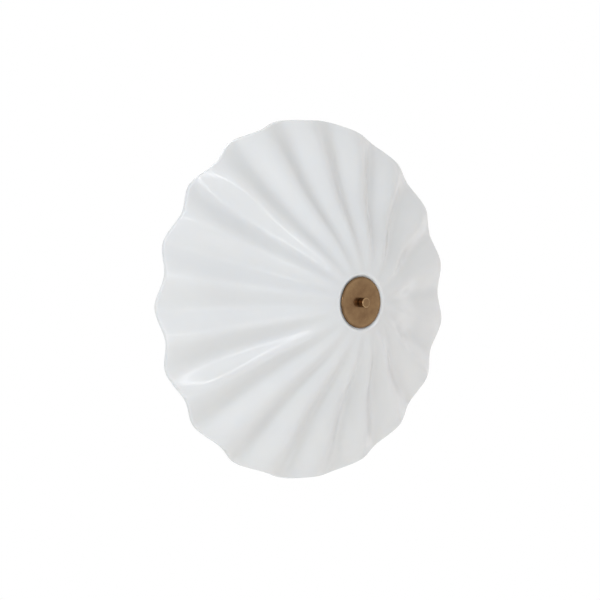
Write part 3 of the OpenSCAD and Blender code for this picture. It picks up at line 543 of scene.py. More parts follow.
# %% Moulded, fired and punched stuff
STUFFS = {
    "white_thermoplastic": ("moulded_white_thermoplastic", "#E6E6E0", "#ECECE7", 0.30, 1.50, 0.8, 0.9, 0.006),
    "natural_nylon": ("moulded_natural_nylon", "#DEDBCB", "#E9E6D9", 0.42, 1.53, 1.5, 0.7, 0.008),
    "black_rubber": ("moulded_black_rubber", "#191919", "#242424", 0.68, 1.52, 0.0, 0.35, 0.02),
    "vulcanised_fibre": ("punched_vulcanised_fibre", "#5E3024", "#74402F", 0.75, 1.50, 0.0, 0.3, 0.03),
    "steatite": ("unglazed_steatite", "#DCD7C8", "#E8E4D8", 0.55, 1.55, 0.3, 0.25, 0.015),
    "opal_lamp_globe": ("satin_opal_lamp_glass", "#EBEBE6", "#F1F1ED", 0.22, 1.50, 2.0, 20.0, 0.01),
    "black_lamp_glass": ("black_lamp_cap_glass", "#0C0C0E", "#141417", 0.08, 1.55, 0.0, 3.0, 0.02),
    "brown_pvc": ("brown_pvc", "#55311B", "#623A22", 0.34, 1.53, 0.2, 1.2, 0.01),
    "blue_pvc": ("blue_pvc", "#1C4487", "#235096", 0.34, 1.53, 0.2, 1.2, 0.01),
}

DRIFT_MM = 12
WEAR_SPREAD = 0.15
LIT_SHARE = 0.4
LEAST_DEPTH_MM = 0.1

for slot, (name, dark, light, roughness, ior, depth, grain_mm, height_mm) in STUFFS.items():
    tree, spot, shader = new_material(slot, name)
    grain = add(tree, "ShaderNodeTexNoise", {"Vector": spot, "Scale": per(grain_mm), "Detail": 3.0})
    bump = add(tree, "ShaderNodeBump", {"Height": grain.outputs["Fac"], "Distance": height_mm * MM})
    drift = add(tree, "ShaderNodeTexNoise", {"Vector": spot, "Scale": per(DRIFT_MM), "Detail": 3.0})
    tone = add(tree, "ShaderNodeMix", {
        "Factor": drift.outputs["Fac"], "A": linear(dark), "B": linear(light)}, data_type="RGBA")
    wear = add(tree, "ShaderNodeMapRange", {
        "Value": drift.outputs["Fac"], "To Min": roughness * (1 - WEAR_SPREAD),
        "To Max": roughness * (1 + WEAR_SPREAD)})
    feed(shader, {
        "Base Color": tone.outputs["Result"], "Roughness": wear.outputs[0], "IOR": ior,
        "Normal": bump.outputs["Normal"], "Subsurface Weight": LIT_SHARE if depth else 0.0,
        "Subsurface Scale": max(depth, LEAST_DEPTH_MM) * MM})
print("stuffs:", ", ".join(STUFFS))

# %% [markdown]
# ## Two-coloured PVC
# The earth wire is extruded in green with a broad yellow stripe along it. The stripe belongs to the wire's
# round, so the wire's mesh carries the side that each point is on, and the material reads it.

# %% Two-coloured PVC
STRIPE_BLUR = 0.05
PVC_GRAIN_MM = 1.2
PVC_GRAIN_HEIGHT_MM = 0.01

tree, spot, shader = new_material("green_yellow_pvc", "green_and_yellow_pvc")
side = add(tree, "ShaderNodeAttribute", attribute_name="side")
stripe = add(tree, "ShaderNodeMapRange", {
    "Value": side.outputs["Fac"], "From Min": -STRIPE_BLUR, "From Max": STRIPE_BLUR})
tone = add(tree, "ShaderNodeMix", {
    "Factor": stripe.outputs[0], "A": linear("#D9C21F"), "B": linear("#2F8A3A")}, data_type="RGBA")
grain = add(tree, "ShaderNodeTexNoise", {"Vector": spot, "Scale": per(PVC_GRAIN_MM)})
bump = add(tree, "ShaderNodeBump", {"Height": grain.outputs["Fac"], "Distance": PVC_GRAIN_HEIGHT_MM * MM})
feed(shader, {
    "Base Color": tone.outputs["Result"], "Roughness": 0.34, "IOR": 1.53, "Normal": bump.outputs["Normal"]})
print(len(materials), "materials")

# %% [markdown]
# ## The glass shade
# Its face is one surface: a shallow cone with a slight S-curve, carrying flutes that swell quickly from
# nothing at the seat, stand fullest two thirds of the way out and end in the wavy rim. A sculpted mesh
# would wander, so every point is worked out from the solid's formula, with two finer swells, slightly
# flatter flanks and many more points. The disc's seat is a shallow dish that rises softly to the lip, and
# the edges at the rim and the hole are rounded as pressing and grinding leave them.

# %% The shape of the shade
# Lengths are in millimetres. The swells and waves are the sizes of a series of sines along the cone.
FLUTES = 18
FLUTE_HEIGHT = 9.9
FLUTE_SWELLS = (0.37, -0.1, 0.04, -0.05)
FLANK_FLATNESS = 0.02
RIM_RIPPLE = 1.8
FIRST_RIDGE = math.radians(11)
CONE_HEIGHT = 77.0
CONE_WAVES = (-0.7, 1.5, 1.6)
RIM_STANDOFF = 34.0
RIM_RADIUS = 175.0 - RIM_RIPPLE / 2
GLASS_THICKNESS = 4.0
SEAT_FLAT = 24.7
SEAT_DEPTH = 1.8
SEAT_START = 0.05
SEAT_STEPS = 16
LIP_RADIUS = 28.2
HOLE_ROUND = 0.45
HOLE_RADIUS = 5.5
STEPS_PER_FLUTE = 32
FACE_START = 0.003
RINGS = 72

crown = RIM_STANDOFF + CONE_HEIGHT
land = crown - SEAT_DEPTH
land_back = land - GLASS_THICKNESS
slant = math.atan(CONE_HEIGHT / (RIM_RADIUS - LIP_RADIUS))
phase = FLUTES * (around(FLUTES * STEPS_PER_FLUTE) - FIRST_RIDGE)
wave = (np.cos(phase) + FLANK_FLATNESS * np.cos(3 * phase)) / (1 + FLANK_FLATNESS)


def swell(sizes, t):
    """A sum of waves along the cone that is nothing at its two ends."""
    return sum(size * math.sin((i + 1) * math.pi * t) for i, size in enumerate(sizes))


def glass_face(t):
    """The face of the glass all the way round, at t from 0 at the lip of the seat to 1 at the rim."""
    fade = t + swell(FLUTE_SWELLS, t)
    cone = CONE_HEIGHT * (1 - t) + swell(CONE_WAVES, t)
    radius = LIP_RADIUS + t * (RIM_RADIUS - LIP_RADIUS) - RIM_RIPPLE / 2 * fade * wave
    return np.stack([radius, RIM_STANDOFF + cone + FLUTE_HEIGHT / 2 * fade * wave], 1)


def glass_back(t):
    """The back of the glass, which keeps its thickness and lies flat behind the seat."""
    ring = glass_face(t)
    ring[:, 1] = np.minimum(land_back, ring[:, 1] - GLASS_THICKNESS / math.cos(slant))
    return ring


print("the glass slopes by", round(math.degrees(slant), 1), "degrees and stands", crown, "mm from the wall")

# %% The mesh of the shade
RIM_ROUND = 0.8
RIM_STEPS = 6

edge_t = RIM_ROUND / (RIM_RADIUS - LIP_RADIUS)
down = np.array([0, RIM_ROUND])
glass_rows = rounded([(HOLE_RADIUS, land_back), (HOLE_RADIUS, land), (SEAT_FLAT, land)], HOLE_ROUND,
                     closed=False)
glass_rows += [(SEAT_FLAT + t * (LIP_RADIUS - SEAT_FLAT), land + SEAT_DEPTH * (1 - (1 - t) ** 3))
               for t in np.linspace(SEAT_START, 1, SEAT_STEPS)]
glass_rows += [glass_face(t) for t in np.linspace(FACE_START, 1 - 2 * edge_t, RINGS)]
glass_rows += curve_through(glass_face(1 - edge_t), glass_face(1), glass_face(1) - down, RIM_STEPS)
glass_rows += curve_through(glass_back(1) + down, glass_back(1), glass_back(1 - edge_t), RIM_STEPS)
glass_rows += [glass_back(t) for t in np.linspace(1 - 2 * edge_t, FACE_START, RINGS)]
shade = lathe("pressed_glass_shade", glass_rows, [(Vector(), OUT)], segments=len(wave))
dress(shade, "opal_glass", "glass_shade")

# %% [markdown]
# ## Disc and finial
# Both are turned from brass bar. The disc's front edge has a small chamfer, and the finial is a plain
# cylinder with a chamfered end and a blind bore. The bore shows when the finial is unscrewed. Each point is
# marked with how worn it is, more beside the chamfer, and with a painted shade low on the disc's side and at
# the foot of the finial.

# %% Disc and finial
ROD_HOLE = 3.3
DISC_CHAMFER = 0.9
DISC_ROUND = 0.25
FINIAL_CHAMFER = 0.5
FINIAL_ROUND = 0.15
FINIAL_END = 1.0
RUBBED_REACH = 0.9
RUBBED_BRIGHT = 0.1
RUBBED_WIDELY = 0.33
RUBBED_FAINTLY = 0.06
# Painted shade: how far it reaches from the corner, in mm, and how much it darkens.
PAINTED_SHADE_REACH = 2.2
PAINTED_SHADE_DARK = 0.5


def mark_wear_and_shade(piece, start, edge, corner):
    """Marks how worn each point of a brass piece is near the edge, and a painted shade near the corner.
    Edge and corner are (radius, height) in mm.
    """
    points = (np.array([v.co for v in piece.data.vertices]) - np.array(start)) / MM
    places = np.stack([np.hypot(points[:, 0], points[:, 2]), -points[:, 1]], 1)
    from_edge = np.linalg.norm(places - edge, axis=1)
    from_shaded_corner = np.linalg.norm(places - corner, axis=1)
    wear_and_shade = UNTOUCHED + RUBBED_BRIGHT * np.clip(1 - from_edge / RUBBED_REACH, 0, 1)
    wear_and_shade += RUBBED_FAINTLY * np.clip(1 - from_edge / (RUBBED_WIDELY * edge[0]), 0, 1)
    # Painted shade darkens the points near the corner.
    wear_and_shade -= PAINTED_SHADE_DARK * np.clip(1 - from_shaded_corner / PAINTED_SHADE_REACH, 0, 1)
    values = piece.data.attributes.new("wear_and_shade", "FLOAT", "POINT")
    values.data.foreach_set("value", np.clip(wear_and_shade, 0, 1).astype(np.float32))


places, radius, thickness = seats("cover_disc")
face_edge = radius - DISC_CHAMFER
disc = lathe("brass_cover_disc", rounded([
    (ROD_HOLE, 0), (radius, 0), (radius, thickness - DISC_CHAMFER), (face_edge, thickness),
    (face_edge - RUBBED_REACH, thickness), (face_edge * (1 - RUBBED_WIDELY), thickness),
    (ROD_HOLE, thickness)], DISC_ROUND), places, segments=160)
# The painted shade is centred a third of the way up the disc's side.
mark_wear_and_shade(disc, places[0][0], (radius - DISC_CHAMFER / 2, thickness - DISC_CHAMFER / 2),
            (radius, thickness / 3))
dress(disc, "aged_brass", "cover_disc")

places, radius, length = seats("finial_nut")
face_edge = radius - FINIAL_CHAMFER
finial = lathe("brass_finial_nut", rounded([
    (0, length - FINIAL_END), (ROD_HOLE, length - FINIAL_END), (ROD_HOLE, 0), (radius, 0),
    (radius, PAINTED_SHADE_REACH), (radius, length - FINIAL_CHAMFER - RUBBED_REACH),
    (radius, length - FINIAL_CHAMFER), (face_edge, length), (face_edge - RUBBED_REACH, length),
    (0, length)], FINIAL_ROUND, closed=False), places)
# The finial's painted shade sits at its foot against the disc.
mark_wear_and_shade(finial, places[0][0], (radius - FINIAL_CHAMFER / 2, length - FINIAL_CHAMFER / 2), (radius, 0))
dress(finial, "aged_brass", "finial_nut")

# %% [markdown]
# ## Rings, washers and tubes
# Flat rings punched or cut from sheet, and the steel tube round the rod. Their outline is a rectangle with
# its corners rounded: widely on rubber, a little on punched metal.

# %% Rings, washers and tubes
RINGS_AND_WASHERS = {
    "front_gasket": ("fibre_gasket", "vulcanised_fibre", ROD_HOLE, 0.1),
    "rear_gasket": ("rubber_glass_ring", "black_rubber", HOLE_RADIUS, 0.5),
    "rod_washers": ("rod_washers", "zinc_plated_steel", ROD_HOLE, 0.25),
    "pan_screw_washers": ("pan_screw_washers", "zinc_plated_steel", 2.3, 0.2),
    "spacer_tube": ("steel_spacer_tube", "zinc_plated_steel", ROD_HOLE, 0.25),
}

for node, (name, slot, bore, edge) in RINGS_AND_WASHERS.items():
    places, radius, height = seats(node)
    outline = rounded([(bore, 0), (radius, 0), (radius, height), (bore, height)], edge)
    dress(lathe(name, outline, places), slot, node)

# %% Support plate
PLATE_RIM = 1.2
PLATE_THICKNESS = 2.0
PLATE_ROUND = 0.3

places, radius, height = seats("glass_support_plate")
plate = lathe("steel_support_plate", rounded([
    (ROD_HOLE, 0), (radius, 0), (radius, height), (radius - PLATE_RIM, height),
    (radius - PLATE_RIM, PLATE_THICKNESS), (ROD_HOLE, PLATE_THICKNESS)], PLATE_ROUND), places, segments=128)
dress(plate, "zinc_plated_steel", "glass_support_plate")

# %% [markdown]
# ## Threads
# A thread is a groove that climbs as it goes round. On the lathe that means that the radius depends on the
# height and the angle together. Metric threads are pointed. The thread of a lamp cap is rolled in thin
# sheet, so it is a smooth wave. Both fade out over the last turn.

# %% Threaded rod and nipples
ROWS_PER_TURN = 8
PITCH_OF_ROD = 1.0
THREAD_DEPTH = 0.55
ROD_END = 0.6
NIPPLE_BORE = 3.8
NIPPLE_END = 0.4


def thread(radius, start, end, pitch, depth, segments, pointed=True):
    """Rows for a thread whose crests reach radius, from one height to another."""
    rows = []
    for height in np.arange(start, end, pitch / ROWS_PER_TURN):
        phase = (height / pitch - around(segments) / (2 * math.pi)) % 1
        groove = 1 - abs(2 * phase - 1) if pointed else 0.5 - 0.5 * np.cos(2 * math.pi * phase)
        fade = min(1, (height - start) / pitch, (end - height) / pitch)
        rows.append(np.stack([radius - depth * groove * fade, np.full(segments, height)], 1))
    return rows


places, radius, length = seats("centre_rod")
outline = [(0, 0), (radius - ROD_END, 0)]
outline += thread(radius, ROD_END, length - ROD_END, PITCH_OF_ROD, THREAD_DEPTH, 32)
outline += [(radius - ROD_END, length), (0, length)]
dress(lathe("threaded_rod", outline, places, segments=32), "zinc_plated_steel", "centre_rod")

places, radius, length = seats("nipples", axis=None)
outline = [(NIPPLE_BORE, length - NIPPLE_END), (NIPPLE_BORE, NIPPLE_END), (NIPPLE_BORE + NIPPLE_END, 0)]
outline += thread(radius, NIPPLE_END, length - NIPPLE_END, PITCH_OF_ROD, THREAD_DEPTH, 48)
outline += [(NIPPLE_BORE + NIPPLE_END, length)]
dress(lathe("threaded_nipples", outline, places, segments=48), "raw_brass", "nipples")

# %% [markdown]
# ## Nuts
# A hex nut is a hexagonal bar cut across by two wide cones, which leaves the curved chamfer line on each
# flat. On the lathe the side's radius follows the hexagon, and the chamfer rises at 30 degrees from a
# circle inside the flats.

# %% Nuts
FACE_SHARE = 0.94
CORNER_SHARE = 0.985
CHAMFER_RISE = math.tan(math.radians(30))
NUT_SEGMENTS = 72
COUNTERSINK = 0.35
NUTS = {
    "rod_nuts": ("rod_nuts", "zinc_plated_steel", ROD_HOLE - 0.35, OUT),
    "foot_screw_nuts": ("foot_screw_nuts", "zinc_plated_steel", 1.6, OUT),
    "block_screw_nuts": ("block_screw_nuts", "zinc_plated_steel", 1.35, OUT),
    "earth_nut": ("earth_nut", "raw_brass", 2.1, OUT),
    "nipple_nuts": ("nipple_ring_nuts", "raw_brass", 5.05, None),
}


def hex_side(corner_radius):
    """The radius of a hexagon for every angle, its corners taken off a little, and of the circle in it."""
    flat = corner_radius * math.cos(math.pi / 6)
    side = flat / np.cos(around(NUT_SEGMENTS) % (math.pi / 3) - math.pi / 6)
    return np.minimum(side, corner_radius * CORNER_SHARE), flat * FACE_SHARE


def row(radius, height):
    """A row for the lathe whose radius or height follows the angle."""
    return np.stack(np.broadcast_arrays(radius, height), 1)


for node, (name, slot, bore, axis) in NUTS.items():
    places, corner_radius, height = seats(node, axis)
    side, face = hex_side(corner_radius)
    chamfer = (side - face) * CHAMFER_RISE
    outline = [(bore, height - COUNTERSINK), (bore, COUNTERSINK), (bore + COUNTERSINK, 0), (face, 0),
               row(side, chamfer), row(side, height - chamfer), (face, height), (bore + COUNTERSINK, height)]
    dress(lathe(name, outline, places, segments=NUT_SEGMENTS), slot, node)

# %% Cap nuts
CAP_NUT_BORE = 2.05
CAP_NUT_HEX = 4.0
DOME_FOOT = 0.15


def arc(centre, radius, first, last, steps):
    """Points of an outline on part of a circle, from one angle to another."""
    return [(centre[0] + radius * math.cos(a), centre[1] + radius * math.sin(a))
            for a in np.linspace(first, last, steps)]


places, corner_radius, height = seats("pan_cap_nuts")
side, face = hex_side(corner_radius)
chamfer = (side - face) * CHAMFER_RISE
dome = height - CAP_NUT_HEX
outline = [(0, CAP_NUT_HEX), (CAP_NUT_BORE, CAP_NUT_HEX), (CAP_NUT_BORE, 0), (face, 0), row(side, chamfer),
           row(side, CAP_NUT_HEX - chamfer), (face, CAP_NUT_HEX), (dome + DOME_FOOT, CAP_NUT_HEX)]
outline += arc((0, CAP_NUT_HEX), dome, 0, math.pi / 2, 12)
cap_nuts = lathe("domed_cap_nuts", outline, places, segments=NUT_SEGMENTS)
dress(cap_nuts, "zinc_plated_steel", "pan_cap_nuts")

# %% [markdown]
# ## Screws
# Slotted cheese-head machine screws. The lathe makes head and thread, and a boolean cuts the slot, as a saw
# does.

# %% Screws
INWARDS = -OUT
SCREWS = {
    "pan_screws": ("zinc_plated_steel", 2.0, 2.6, 0.7, OUT),
    "foot_screws": ("zinc_plated_steel", 1.5, 1.95, 0.5, INWARDS),
    "block_screws": ("zinc_plated_steel", 1.25, 1.625, 0.45, INWARDS),
    "earth_screw": ("raw_brass", 2.0, 2.6, 0.7, INWARDS),
    "terminal_screws": ("zinc_plated_steel", 1.6, 1.8, 0.5, INWARDS),
}
SLOT_SHARE = 1 / 3
SLOT_DEPTH_SHARE = 0.45
HEAD_ROUND = 0.25
HEAD_GAP = 0.1
DEPTH_PER_PITCH = 0.6
SCREW_END = 0.4
END_SHARE = 0.7


def refreshed(piece):
    """Applies a piece's modifiers and marks its sharp edges again."""
    whole = bpy.context.evaluated_depsgraph_get()
    mesh = bpy.data.meshes.new_from_object(piece.evaluated_get(whole))
    piece.modifiers.clear()
    piece.data = mesh
    smooth_shaded(mesh)
    return piece


def cut(piece, cutter):
    """Cuts a solid out of a piece."""
    difference = piece.modifiers.new("cut", "BOOLEAN")
    difference.object = cutter
    difference.solver = "EXACT"
    refreshed(piece)
    bpy.data.objects.remove(cutter)


def placed_shell(name, shell):
    """An object from a bmesh, which is freed."""
    mesh = bpy.data.meshes.new(name)
    shell.to_mesh(mesh)
    shell.free()
    return placed(name, mesh)


def bars(places, size_mm):
    """A straight bar across the start of each place, to cut slots with."""
    shell = bmesh.new()
    stretch = Matrix.Diagonal((*(side * MM for side in size_mm), 1))
    for start, axis in places:
        bmesh.ops.create_cube(shell, size=1, matrix=Matrix.Translation(start) @ stretch)
    return placed_shell("bars", shell)


for node, (slot, shank, head, pitch, axis) in SCREWS.items():
    places, radius, length = seats(node, axis)
    outline = rounded([(0, 0), (radius, 0), (radius, head), (shank, head)], HEAD_ROUND, closed=False)
    outline += thread(shank, head + HEAD_GAP, length - SCREW_END, pitch, DEPTH_PER_PITCH * pitch, 32)
    outline += [(shank * END_SHARE, length), (0, length)]
    screws = lathe(node, outline, places, segments=32)
    cut(screws, bars(places, (radius * 3, 2 * head * SLOT_DEPTH_SHARE, radius * SLOT_SHARE)))
    dress(screws, slot, node)

# %% [markdown]
# ## Lampholders
# The body is moulded thermoplastic, with a domed back and fine ribs to grip, and its mouth has a groove.
# Inside it a metal shell is rolled into the round thread that the lamp screws into: one thin sheet, so its
# inside and its outside wave together.

# %% Lampholder bodies
GRIP_RIBS = 36
RIB_DEPTH = 0.35
RIB_START, RIB_END = 13.0, 29.0
RIB_SLOPE = 0.8
HOLDER_SEGMENTS = GRIP_RIBS * 6
BACK_FLAT = 6
BACK_ROUND = 5
NIPPLE_HOLE = 5.1
HOLDER_FLOOR = 3.2
MOUTH_BORE = 9.2
MOUTH_GROOVE = 0.8
MOUTH_CHAMFER = 0.8
HOLDER_ROUND = 0.4

ribs = RIB_DEPTH * (0.5 - 0.5 * np.cos(GRIP_RIBS * around(HOLDER_SEGMENTS))) ** 3
places, radius, length = seats("lampholder_bodies", axis=None)
outline = [(NIPPLE_HOLE, 0), (BACK_FLAT, 0)]
outline += arc((radius - BACK_ROUND, BACK_ROUND), BACK_ROUND, -math.pi / 2, 0, 10)
outline += [(radius, RIB_START), row(radius - ribs, RIB_START + RIB_SLOPE),
            row(radius - ribs, RIB_END - RIB_SLOPE), (radius, RIB_END)]
outline += rounded([
    (radius, RIB_END + 1), (radius, 32), (radius - MOUTH_GROOVE, 33), (radius - MOUTH_GROOVE, 35),
    (radius, 36), (radius, length - MOUTH_CHAMFER), (radius - MOUTH_CHAMFER, length), (MOUTH_BORE, length),
    (MOUTH_BORE, HOLDER_FLOOR), (NIPPLE_HOLE, HOLDER_FLOOR)], HOLDER_ROUND, closed=False)
holders = lathe("lampholder_bodies", outline, places, segments=HOLDER_SEGMENTS)
dress(holders, "white_thermoplastic", "lampholder_bodies")

# %% Lampholder shells
PITCH_OF_CAP = 2.82
WAVE_DEPTH = 0.5
SHEET = 0.4
FLOOR_BORE = 5.8
SHELL_FOOT = 0.9

places, radius, length = seats("lampholder_shells", axis=None)
outside = thread(radius, SHELL_FOOT, length - SHEET, PITCH_OF_CAP, WAVE_DEPTH, 64, pointed=False)
inside = [ring - (SHEET, 0) for ring in reversed(outside)]
outline = [(FLOOR_BORE, SHEET), (FLOOR_BORE, 0), (radius - SHEET, 0), (radius, SHEET)] + outside
outline += [(radius, length), (radius - SHEET, length)] + inside + [(radius - SHEET, SHEET)]
dress(lathe("lampholder_shells", outline, places, segments=64), "nickel_plated_brass", "lampholder_shells")

# %% [markdown]
# ## Lamps
# A golf-ball lamp is a blown opal globe in a moulded collar, on a rolled metal cap with a black glass
# insulator and a soldered tip. The globe and the base are separate pieces here, as they are on the lamp.

# %% Lamps
GLOBE_WALL = 1.0
COLLAR_NECK = 8.2
COLLAR_STRAIGHT = 2.0
COLLAR_FULLNESS = 0.55
COLLAR_LIP = 1.2
CAP_END_FLAT = 5
CAP_CONE = (0.3, 2.1)
CAP_THREAD = (2.4, 2.2)
CAP_SKIRT = 2
INSULATOR_END = 2.8
INSULATOR_ROUND = 0.3
TIP_SHARE = 0.6
TIP_ROUND = 0.6

for lamp in ("upper_lamp", "lower_lamp"):
    places, radius, height = seats(lamp + "_globe", axis=None)
    middle = (0, height - radius)
    outer, inner = [math.asin(-middle[1] / r) for r in (radius, radius - GLOBE_WALL)]
    outline = arc(middle, radius - GLOBE_WALL, math.pi / 2, inner, 40)
    outline += arc(middle, radius, outer, math.pi / 2, 44)
    dress(lathe(lamp + "_opal_globe", outline, places), "opal_lamp_globe", lamp + "_globe")

    places, end_radius, length = seats(lamp + "_collar", axis=None)
    outline = [(0, 0), (COLLAR_NECK, 0), (COLLAR_NECK, COLLAR_STRAIGHT)]
    for s in np.linspace(0.04, 1, 28):
        rise = COLLAR_FULLNESS * s + (1 - COLLAR_FULLNESS) * s * s
        outline.append((COLLAR_NECK + (end_radius - COLLAR_NECK) * math.sin(s * math.pi / 2),
                        COLLAR_STRAIGHT + (length - COLLAR_STRAIGHT) * rise))
    outline += [(end_radius - COLLAR_LIP, length), (0, length)]
    dress(lathe(lamp + "_moulded_collar", outline, places), "white_thermoplastic", lamp + "_collar")

    places, radius, length = seats(lamp + "_cap", axis=None)
    outline = [(0, 0), (CAP_END_FLAT, 0), (radius - CAP_CONE[0], CAP_CONE[1])]
    outline += thread(radius, CAP_THREAD[0], length - CAP_THREAD[1], PITCH_OF_CAP, WAVE_DEPTH, 64,
                      pointed=False)
    outline += [(radius, length - CAP_SKIRT), (radius, length), (0, length)]
    dress(lathe(lamp + "_screw_cap", outline, places, segments=64), "nickel_plated_brass", lamp + "_cap")

    places, radius, length = seats(lamp + "_insulator", axis=None)
    outline = rounded([(0, 0), (INSULATOR_END, 0), (radius, length), (0, length)], INSULATOR_ROUND,
                      closed=False)
    dress(lathe(lamp + "_glass_insulator", outline, places), "black_lamp_glass", lamp + "_insulator")

    places, radius, length = seats(lamp + "_contact", axis=None)
    outline = rounded([(0, 0), (radius * TIP_SHARE, 0), (radius, length * TIP_SHARE), (radius, length),
                       (0, length)], TIP_ROUND, steps=7, closed=False)
    dress(lathe(lamp + "_solder_tip", outline, places), "tinned_copper", lamp + "_contact")

# %% [markdown]
# ## Back pan
# One sheet of steel spun over a chuck: a flat face, a round corner, a slightly tapering side and an edge
# rolled into a bead at the wall. Its section is turned on the lathe, and the holes are then punched with a
# boolean, each under the piece that passes through it.

# %% Back pan
PAN_SHEET = 1.0
PAN_CORNER = 9.0
PAN_TAPER = 3.0
BEAD_RADIUS = 1.5
PUNCH_START, PUNCH_END = -3, 2
PAN_HOLES = {
    "centre_rod": 3.3, "pan_screws": 2.3, "foot_screws": 1.8, "block_screws": 1.55, "earth_screw": 2.3,
    "cable_grommet": 5.5,
}

places, radius, depth = seats("back_pan")
bead = (radius - BEAD_RADIUS, BEAD_RADIUS)
corner = (bead[0] + PAN_SHEET / 2 - PAN_TAPER - PAN_CORNER, depth - PAN_CORNER)
lean = math.atan(PAN_TAPER / (depth - PAN_CORNER))
opening = math.acos(PAN_SHEET / (2 * BEAD_RADIUS))
outline = [(0, depth), (corner[0] - 1, depth)] + arc(corner, PAN_CORNER, math.pi / 2, lean, 14)
outline += arc(bead, BEAD_RADIUS, opening, -math.pi - opening, 30)
outline += arc(corner, PAN_CORNER - PAN_SHEET, lean, math.pi / 2, 12)
outline += [(corner[0] - 1, depth - PAN_SHEET), (0, depth - PAN_SHEET)]
pan = lathe("spun_steel_pan", outline, places, segments=180)
for node, hole in PAN_HOLES.items():
    spots = [(Vector((start.x, -depth * MM, start.z)), OUT) for start, axis in seats(node)[0]]
    outline = [(0, PUNCH_START), (hole, PUNCH_START), (hole, PUNCH_END), (0, PUNCH_END)]
    cut(pan, lathe("punch", outline, spots, segments=48))
dress(pan, "white_painted_steel", "back_pan")

# %% [markdown]
# ## Grommet
# Moulded rubber with a groove that snaps over the edge of the hole, where the supply cable comes in.

# %% Grommet
GROMMET_BORE = 4.0
GROMMET_NECK = 5.4
GROMMET_CHAMFER = 1
GROMMET_ROUND = 0.5
GROOVE = 1.2

places, radius, length = seats("cable_grommet")
groove = ((length - GROOVE) / 2, (length + GROOVE) / 2)
outline = rounded([
    (GROMMET_BORE, 0), (radius - GROMMET_CHAMFER, 0), (radius, GROMMET_CHAMFER), (radius, groove[0]),
    (GROMMET_NECK, groove[0]), (GROMMET_NECK, groove[1]), (radius, groove[1]),
    (radius, length - GROMMET_CHAMFER), (radius - GROMMET_CHAMFER, length), (GROMMET_BORE, length)],
    GROMMET_ROUND)
dress(lathe("rubber_grommet", outline, places, segments=64), "black_rubber", "cable_grommet")

# %% [markdown]
# ## Punched, bent and moulded pieces
# These have their right shape in the solid already, but no solid has edges as soft as a punched or moulded
# piece. Each gets a copy of its solid with the triangles of its flat faces joined and a narrow bevel along
# every real edge. The sleeves inside the terminal block keep their solid as it is and only get their brass.

# %% Punched, bent and moulded pieces
SOFT_EDGES = {
    "wall_bracket": ("steel_wall_bracket", "zinc_plated_steel", 0.3),
    "lampholder_brackets": ("bent_lampholder_brackets", "zinc_plated_steel", 0.25),
    "lampholder_contacts": ("sprung_contacts", "nickel_plated_brass", 0.08),
    "lampholder_inserts": ("steatite_inserts", "steatite", 0.25),
    "terminal_block": ("nylon_terminal_block", "natural_nylon", 0.2),
    "earth_lug": ("crimped_earth_lug", "tinned_copper", 0.12),
}
SOLID_WELD_M = 1e-6
FLAT = math.radians(1)
REAL_EDGE = math.radians(30)


def softened(name, node, width_mm):
    """A copy of a node's solid with its flat faces whole and its edges bevelled."""
    shell = bmesh.new()
    shell.from_mesh(frame["nodes"][node].data)
    bmesh.ops.remove_doubles(shell, verts=shell.verts, dist=SOLID_WELD_M)
    bmesh.ops.dissolve_limit(shell, angle_limit=FLAT, verts=shell.verts, edges=shell.edges)
    piece = placed_shell(name, shell)
    bevel = piece.modifiers.new("soft edges", "BEVEL")
    bevel.width = width_mm * MM
    bevel.segments = 2
    bevel.limit_method = "ANGLE"
    bevel.angle_limit = REAL_EDGE
    return refreshed(piece)


for node, (name, slot, width) in SOFT_EDGES.items():
    dress(softened(name, node, width), slot, node)

# %% Terminal sleeves
sleeves = frame["nodes"]["terminal_sleeves"]
sleeves.data.materials.clear()
sleeves.data.materials.append(materials["raw_brass"])
print("terminal sleeves keep their solid and get", sleeves.data.materials[0].name)

# %% [markdown]
# ## Wires
# Single wires in PVC, from the terminal block to the lampholders and to the earth lug. A curve object with
# a round bevel would do, but the earth wire's stripe needs to know its side, so each wire is a mesh tube:
# rings of points carried along a smooth curve without twisting. The routes are those of the solids, in
# millimetres to the right, up and out of the wall.

# %% Routes of the wires
WIRES = {
    "live_wires": ("brown_wires", "brown_pvc", [
        [(-55.7, 43, 30.5), (-55.6, 50, 30.3), (-54, 55, 27.5), (-46, 57.5, 25.7), (-20, 57, 25.6),
         (30, 57, 25.6), (62, 55, 25.7), (80, 47, 28), (87, 38, 37), (86.5, 33.6, 47.5), (81, 33.5, 52),
         (75, 33.5, 52), (67, 33.5, 52)],
        [(-58.3, 43, 30.5), (-58.5, 50, 30.7), (-61, 56.5, 32), (-69, 59, 32), (-78, 53, 30),
         (-82, 42, 26), (-82.5, 28, 25.6), (-84, 0, 25.6), (-87, -16, 28), (-93, -28, 40),
         (-91.5, -31, 50), (-83, -30.5, 52), (-75, -30.5, 52), (-67, -30.5, 52)]]),
    "neutral_wires": ("blue_wires", "blue_pvc", [
        [(-65.7, 43, 30.5), (-65.6, 50, 30.2), (-63.5, 56, 27), (-55, 60.7, 25.7), (-20, 61, 25.6),
         (30, 61, 25.6), (64, 59, 25.7), (84, 50, 29), (92, 39, 40), (90.5, 31.5, 50), (83, 30.5, 52),
         (75, 30.5, 52), (67, 30.5, 52)],
        [(-68.3, 43, 30.5), (-68.6, 50, 30.2), (-72.5, 53, 28), (-77, 47, 26), (-77.8, 38, 25.6),
         (-78, 20, 25.6), (-79.5, 0, 25.6), (-82, -18, 27.5), (-87.5, -32, 37), (-87, -34.5, 47.5),
         (-81, -33.5, 52), (-75, -33.5, 52), (-67, -33.5, 52)]]),
    "earth_wire": ("green_and_yellow_wire", "green_yellow_pvc", [
        [(-47, 43, 30.5), (-47, 50, 30.6), (-45, 58, 31), (-39, 65.5, 30.8), (-32, 69, 28.6),
         (-27, 70, 26.6), (-23.6, 70, 26.3)]]),
}
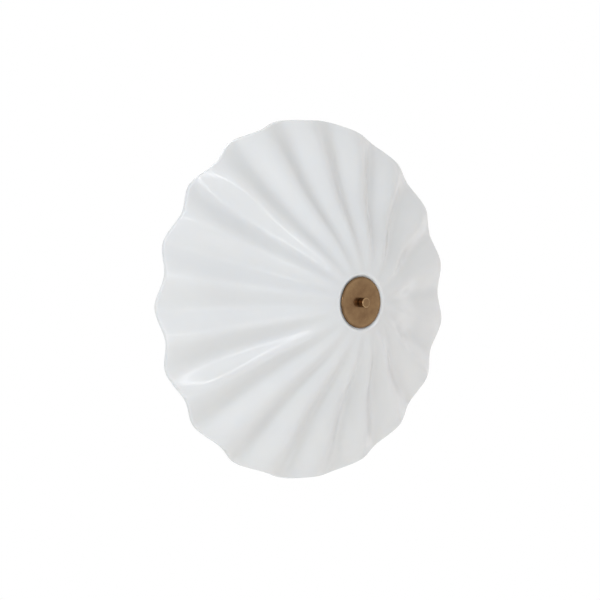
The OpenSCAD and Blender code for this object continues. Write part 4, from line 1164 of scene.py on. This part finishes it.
print(sum(len(routes) for name, slot, routes in WIRES.values()), "wires")

# %% Wires
WIRE_RADIUS = 1.1
CURVE_STEPS = 8
WIRE_SIDES = 14
FIRST_SIDE = (1, 0, 0.2)


def smooth_curve(route):
    """A curve through a route's points, with the same tangents as the solid's."""
    points = np.array(route, float)
    ends = np.concatenate([points[:1], points, points[-1:]])
    curve = []
    for a, b, c, d in zip(ends, ends[1:], ends[2:], ends[3:]):
        for s in np.arange(CURVE_STEPS) / CURVE_STEPS:
            curve.append(0.5 * (2 * b + (c - a) * s + (2 * a - 5 * b + 4 * c - d) * s ** 2
                                + (3 * b - a - 3 * c + d) * s ** 3))
    return np.array(curve + [points[-1]])


def tube(curve, radius, sides):
    """Rings of points along a curve, in millimetres, and the faces between them."""
    normal = np.array(FIRST_SIDE)
    rings = []
    for i in range(len(curve)):
        way = curve[min(i + 1, len(curve) - 1)] - curve[max(i - 1, 0)]
        way /= np.linalg.norm(way)
        normal = normal - normal @ way * way
        normal /= np.linalg.norm(normal)
        a = around(sides)[:, None]
        rings.append(curve[i] + radius * (np.cos(a) * normal + np.sin(a) * np.cross(way, normal)))
    here = np.arange(sides)
    following = (here + 1) % sides
    faces = []
    for i in range(len(curve) - 1):
        faces += (np.stack([here, following, following + sides, here + sides], 1) + i * sides).tolist()
    last = (len(curve) - 1) * sides
    return np.concatenate(rings), faces + [here[::-1].tolist(), (here + last).tolist()]


for node, (name, slot, routes) in WIRES.items():
    points, faces = [], []
    for route in routes:
        ring_points, ring_faces = tube(smooth_curve(route), WIRE_RADIUS, WIRE_SIDES)
        faces += [[corner + len(points) for corner in face] for face in ring_faces]
        points += (ring_points[:, [0, 2, 1]] * (1, -1, 1)).tolist()
    wires = finished_mesh(name, np.array(points) * MM, faces)
    side = wires.data.attributes.new("side", "FLOAT", "POINT")
    turn = np.arange(len(points)) % WIRE_SIDES
    side.data.foreach_set("value", np.cos(2 * math.pi * turn / WIRE_SIDES).astype(np.float32))
    dress(wires, slot, node)
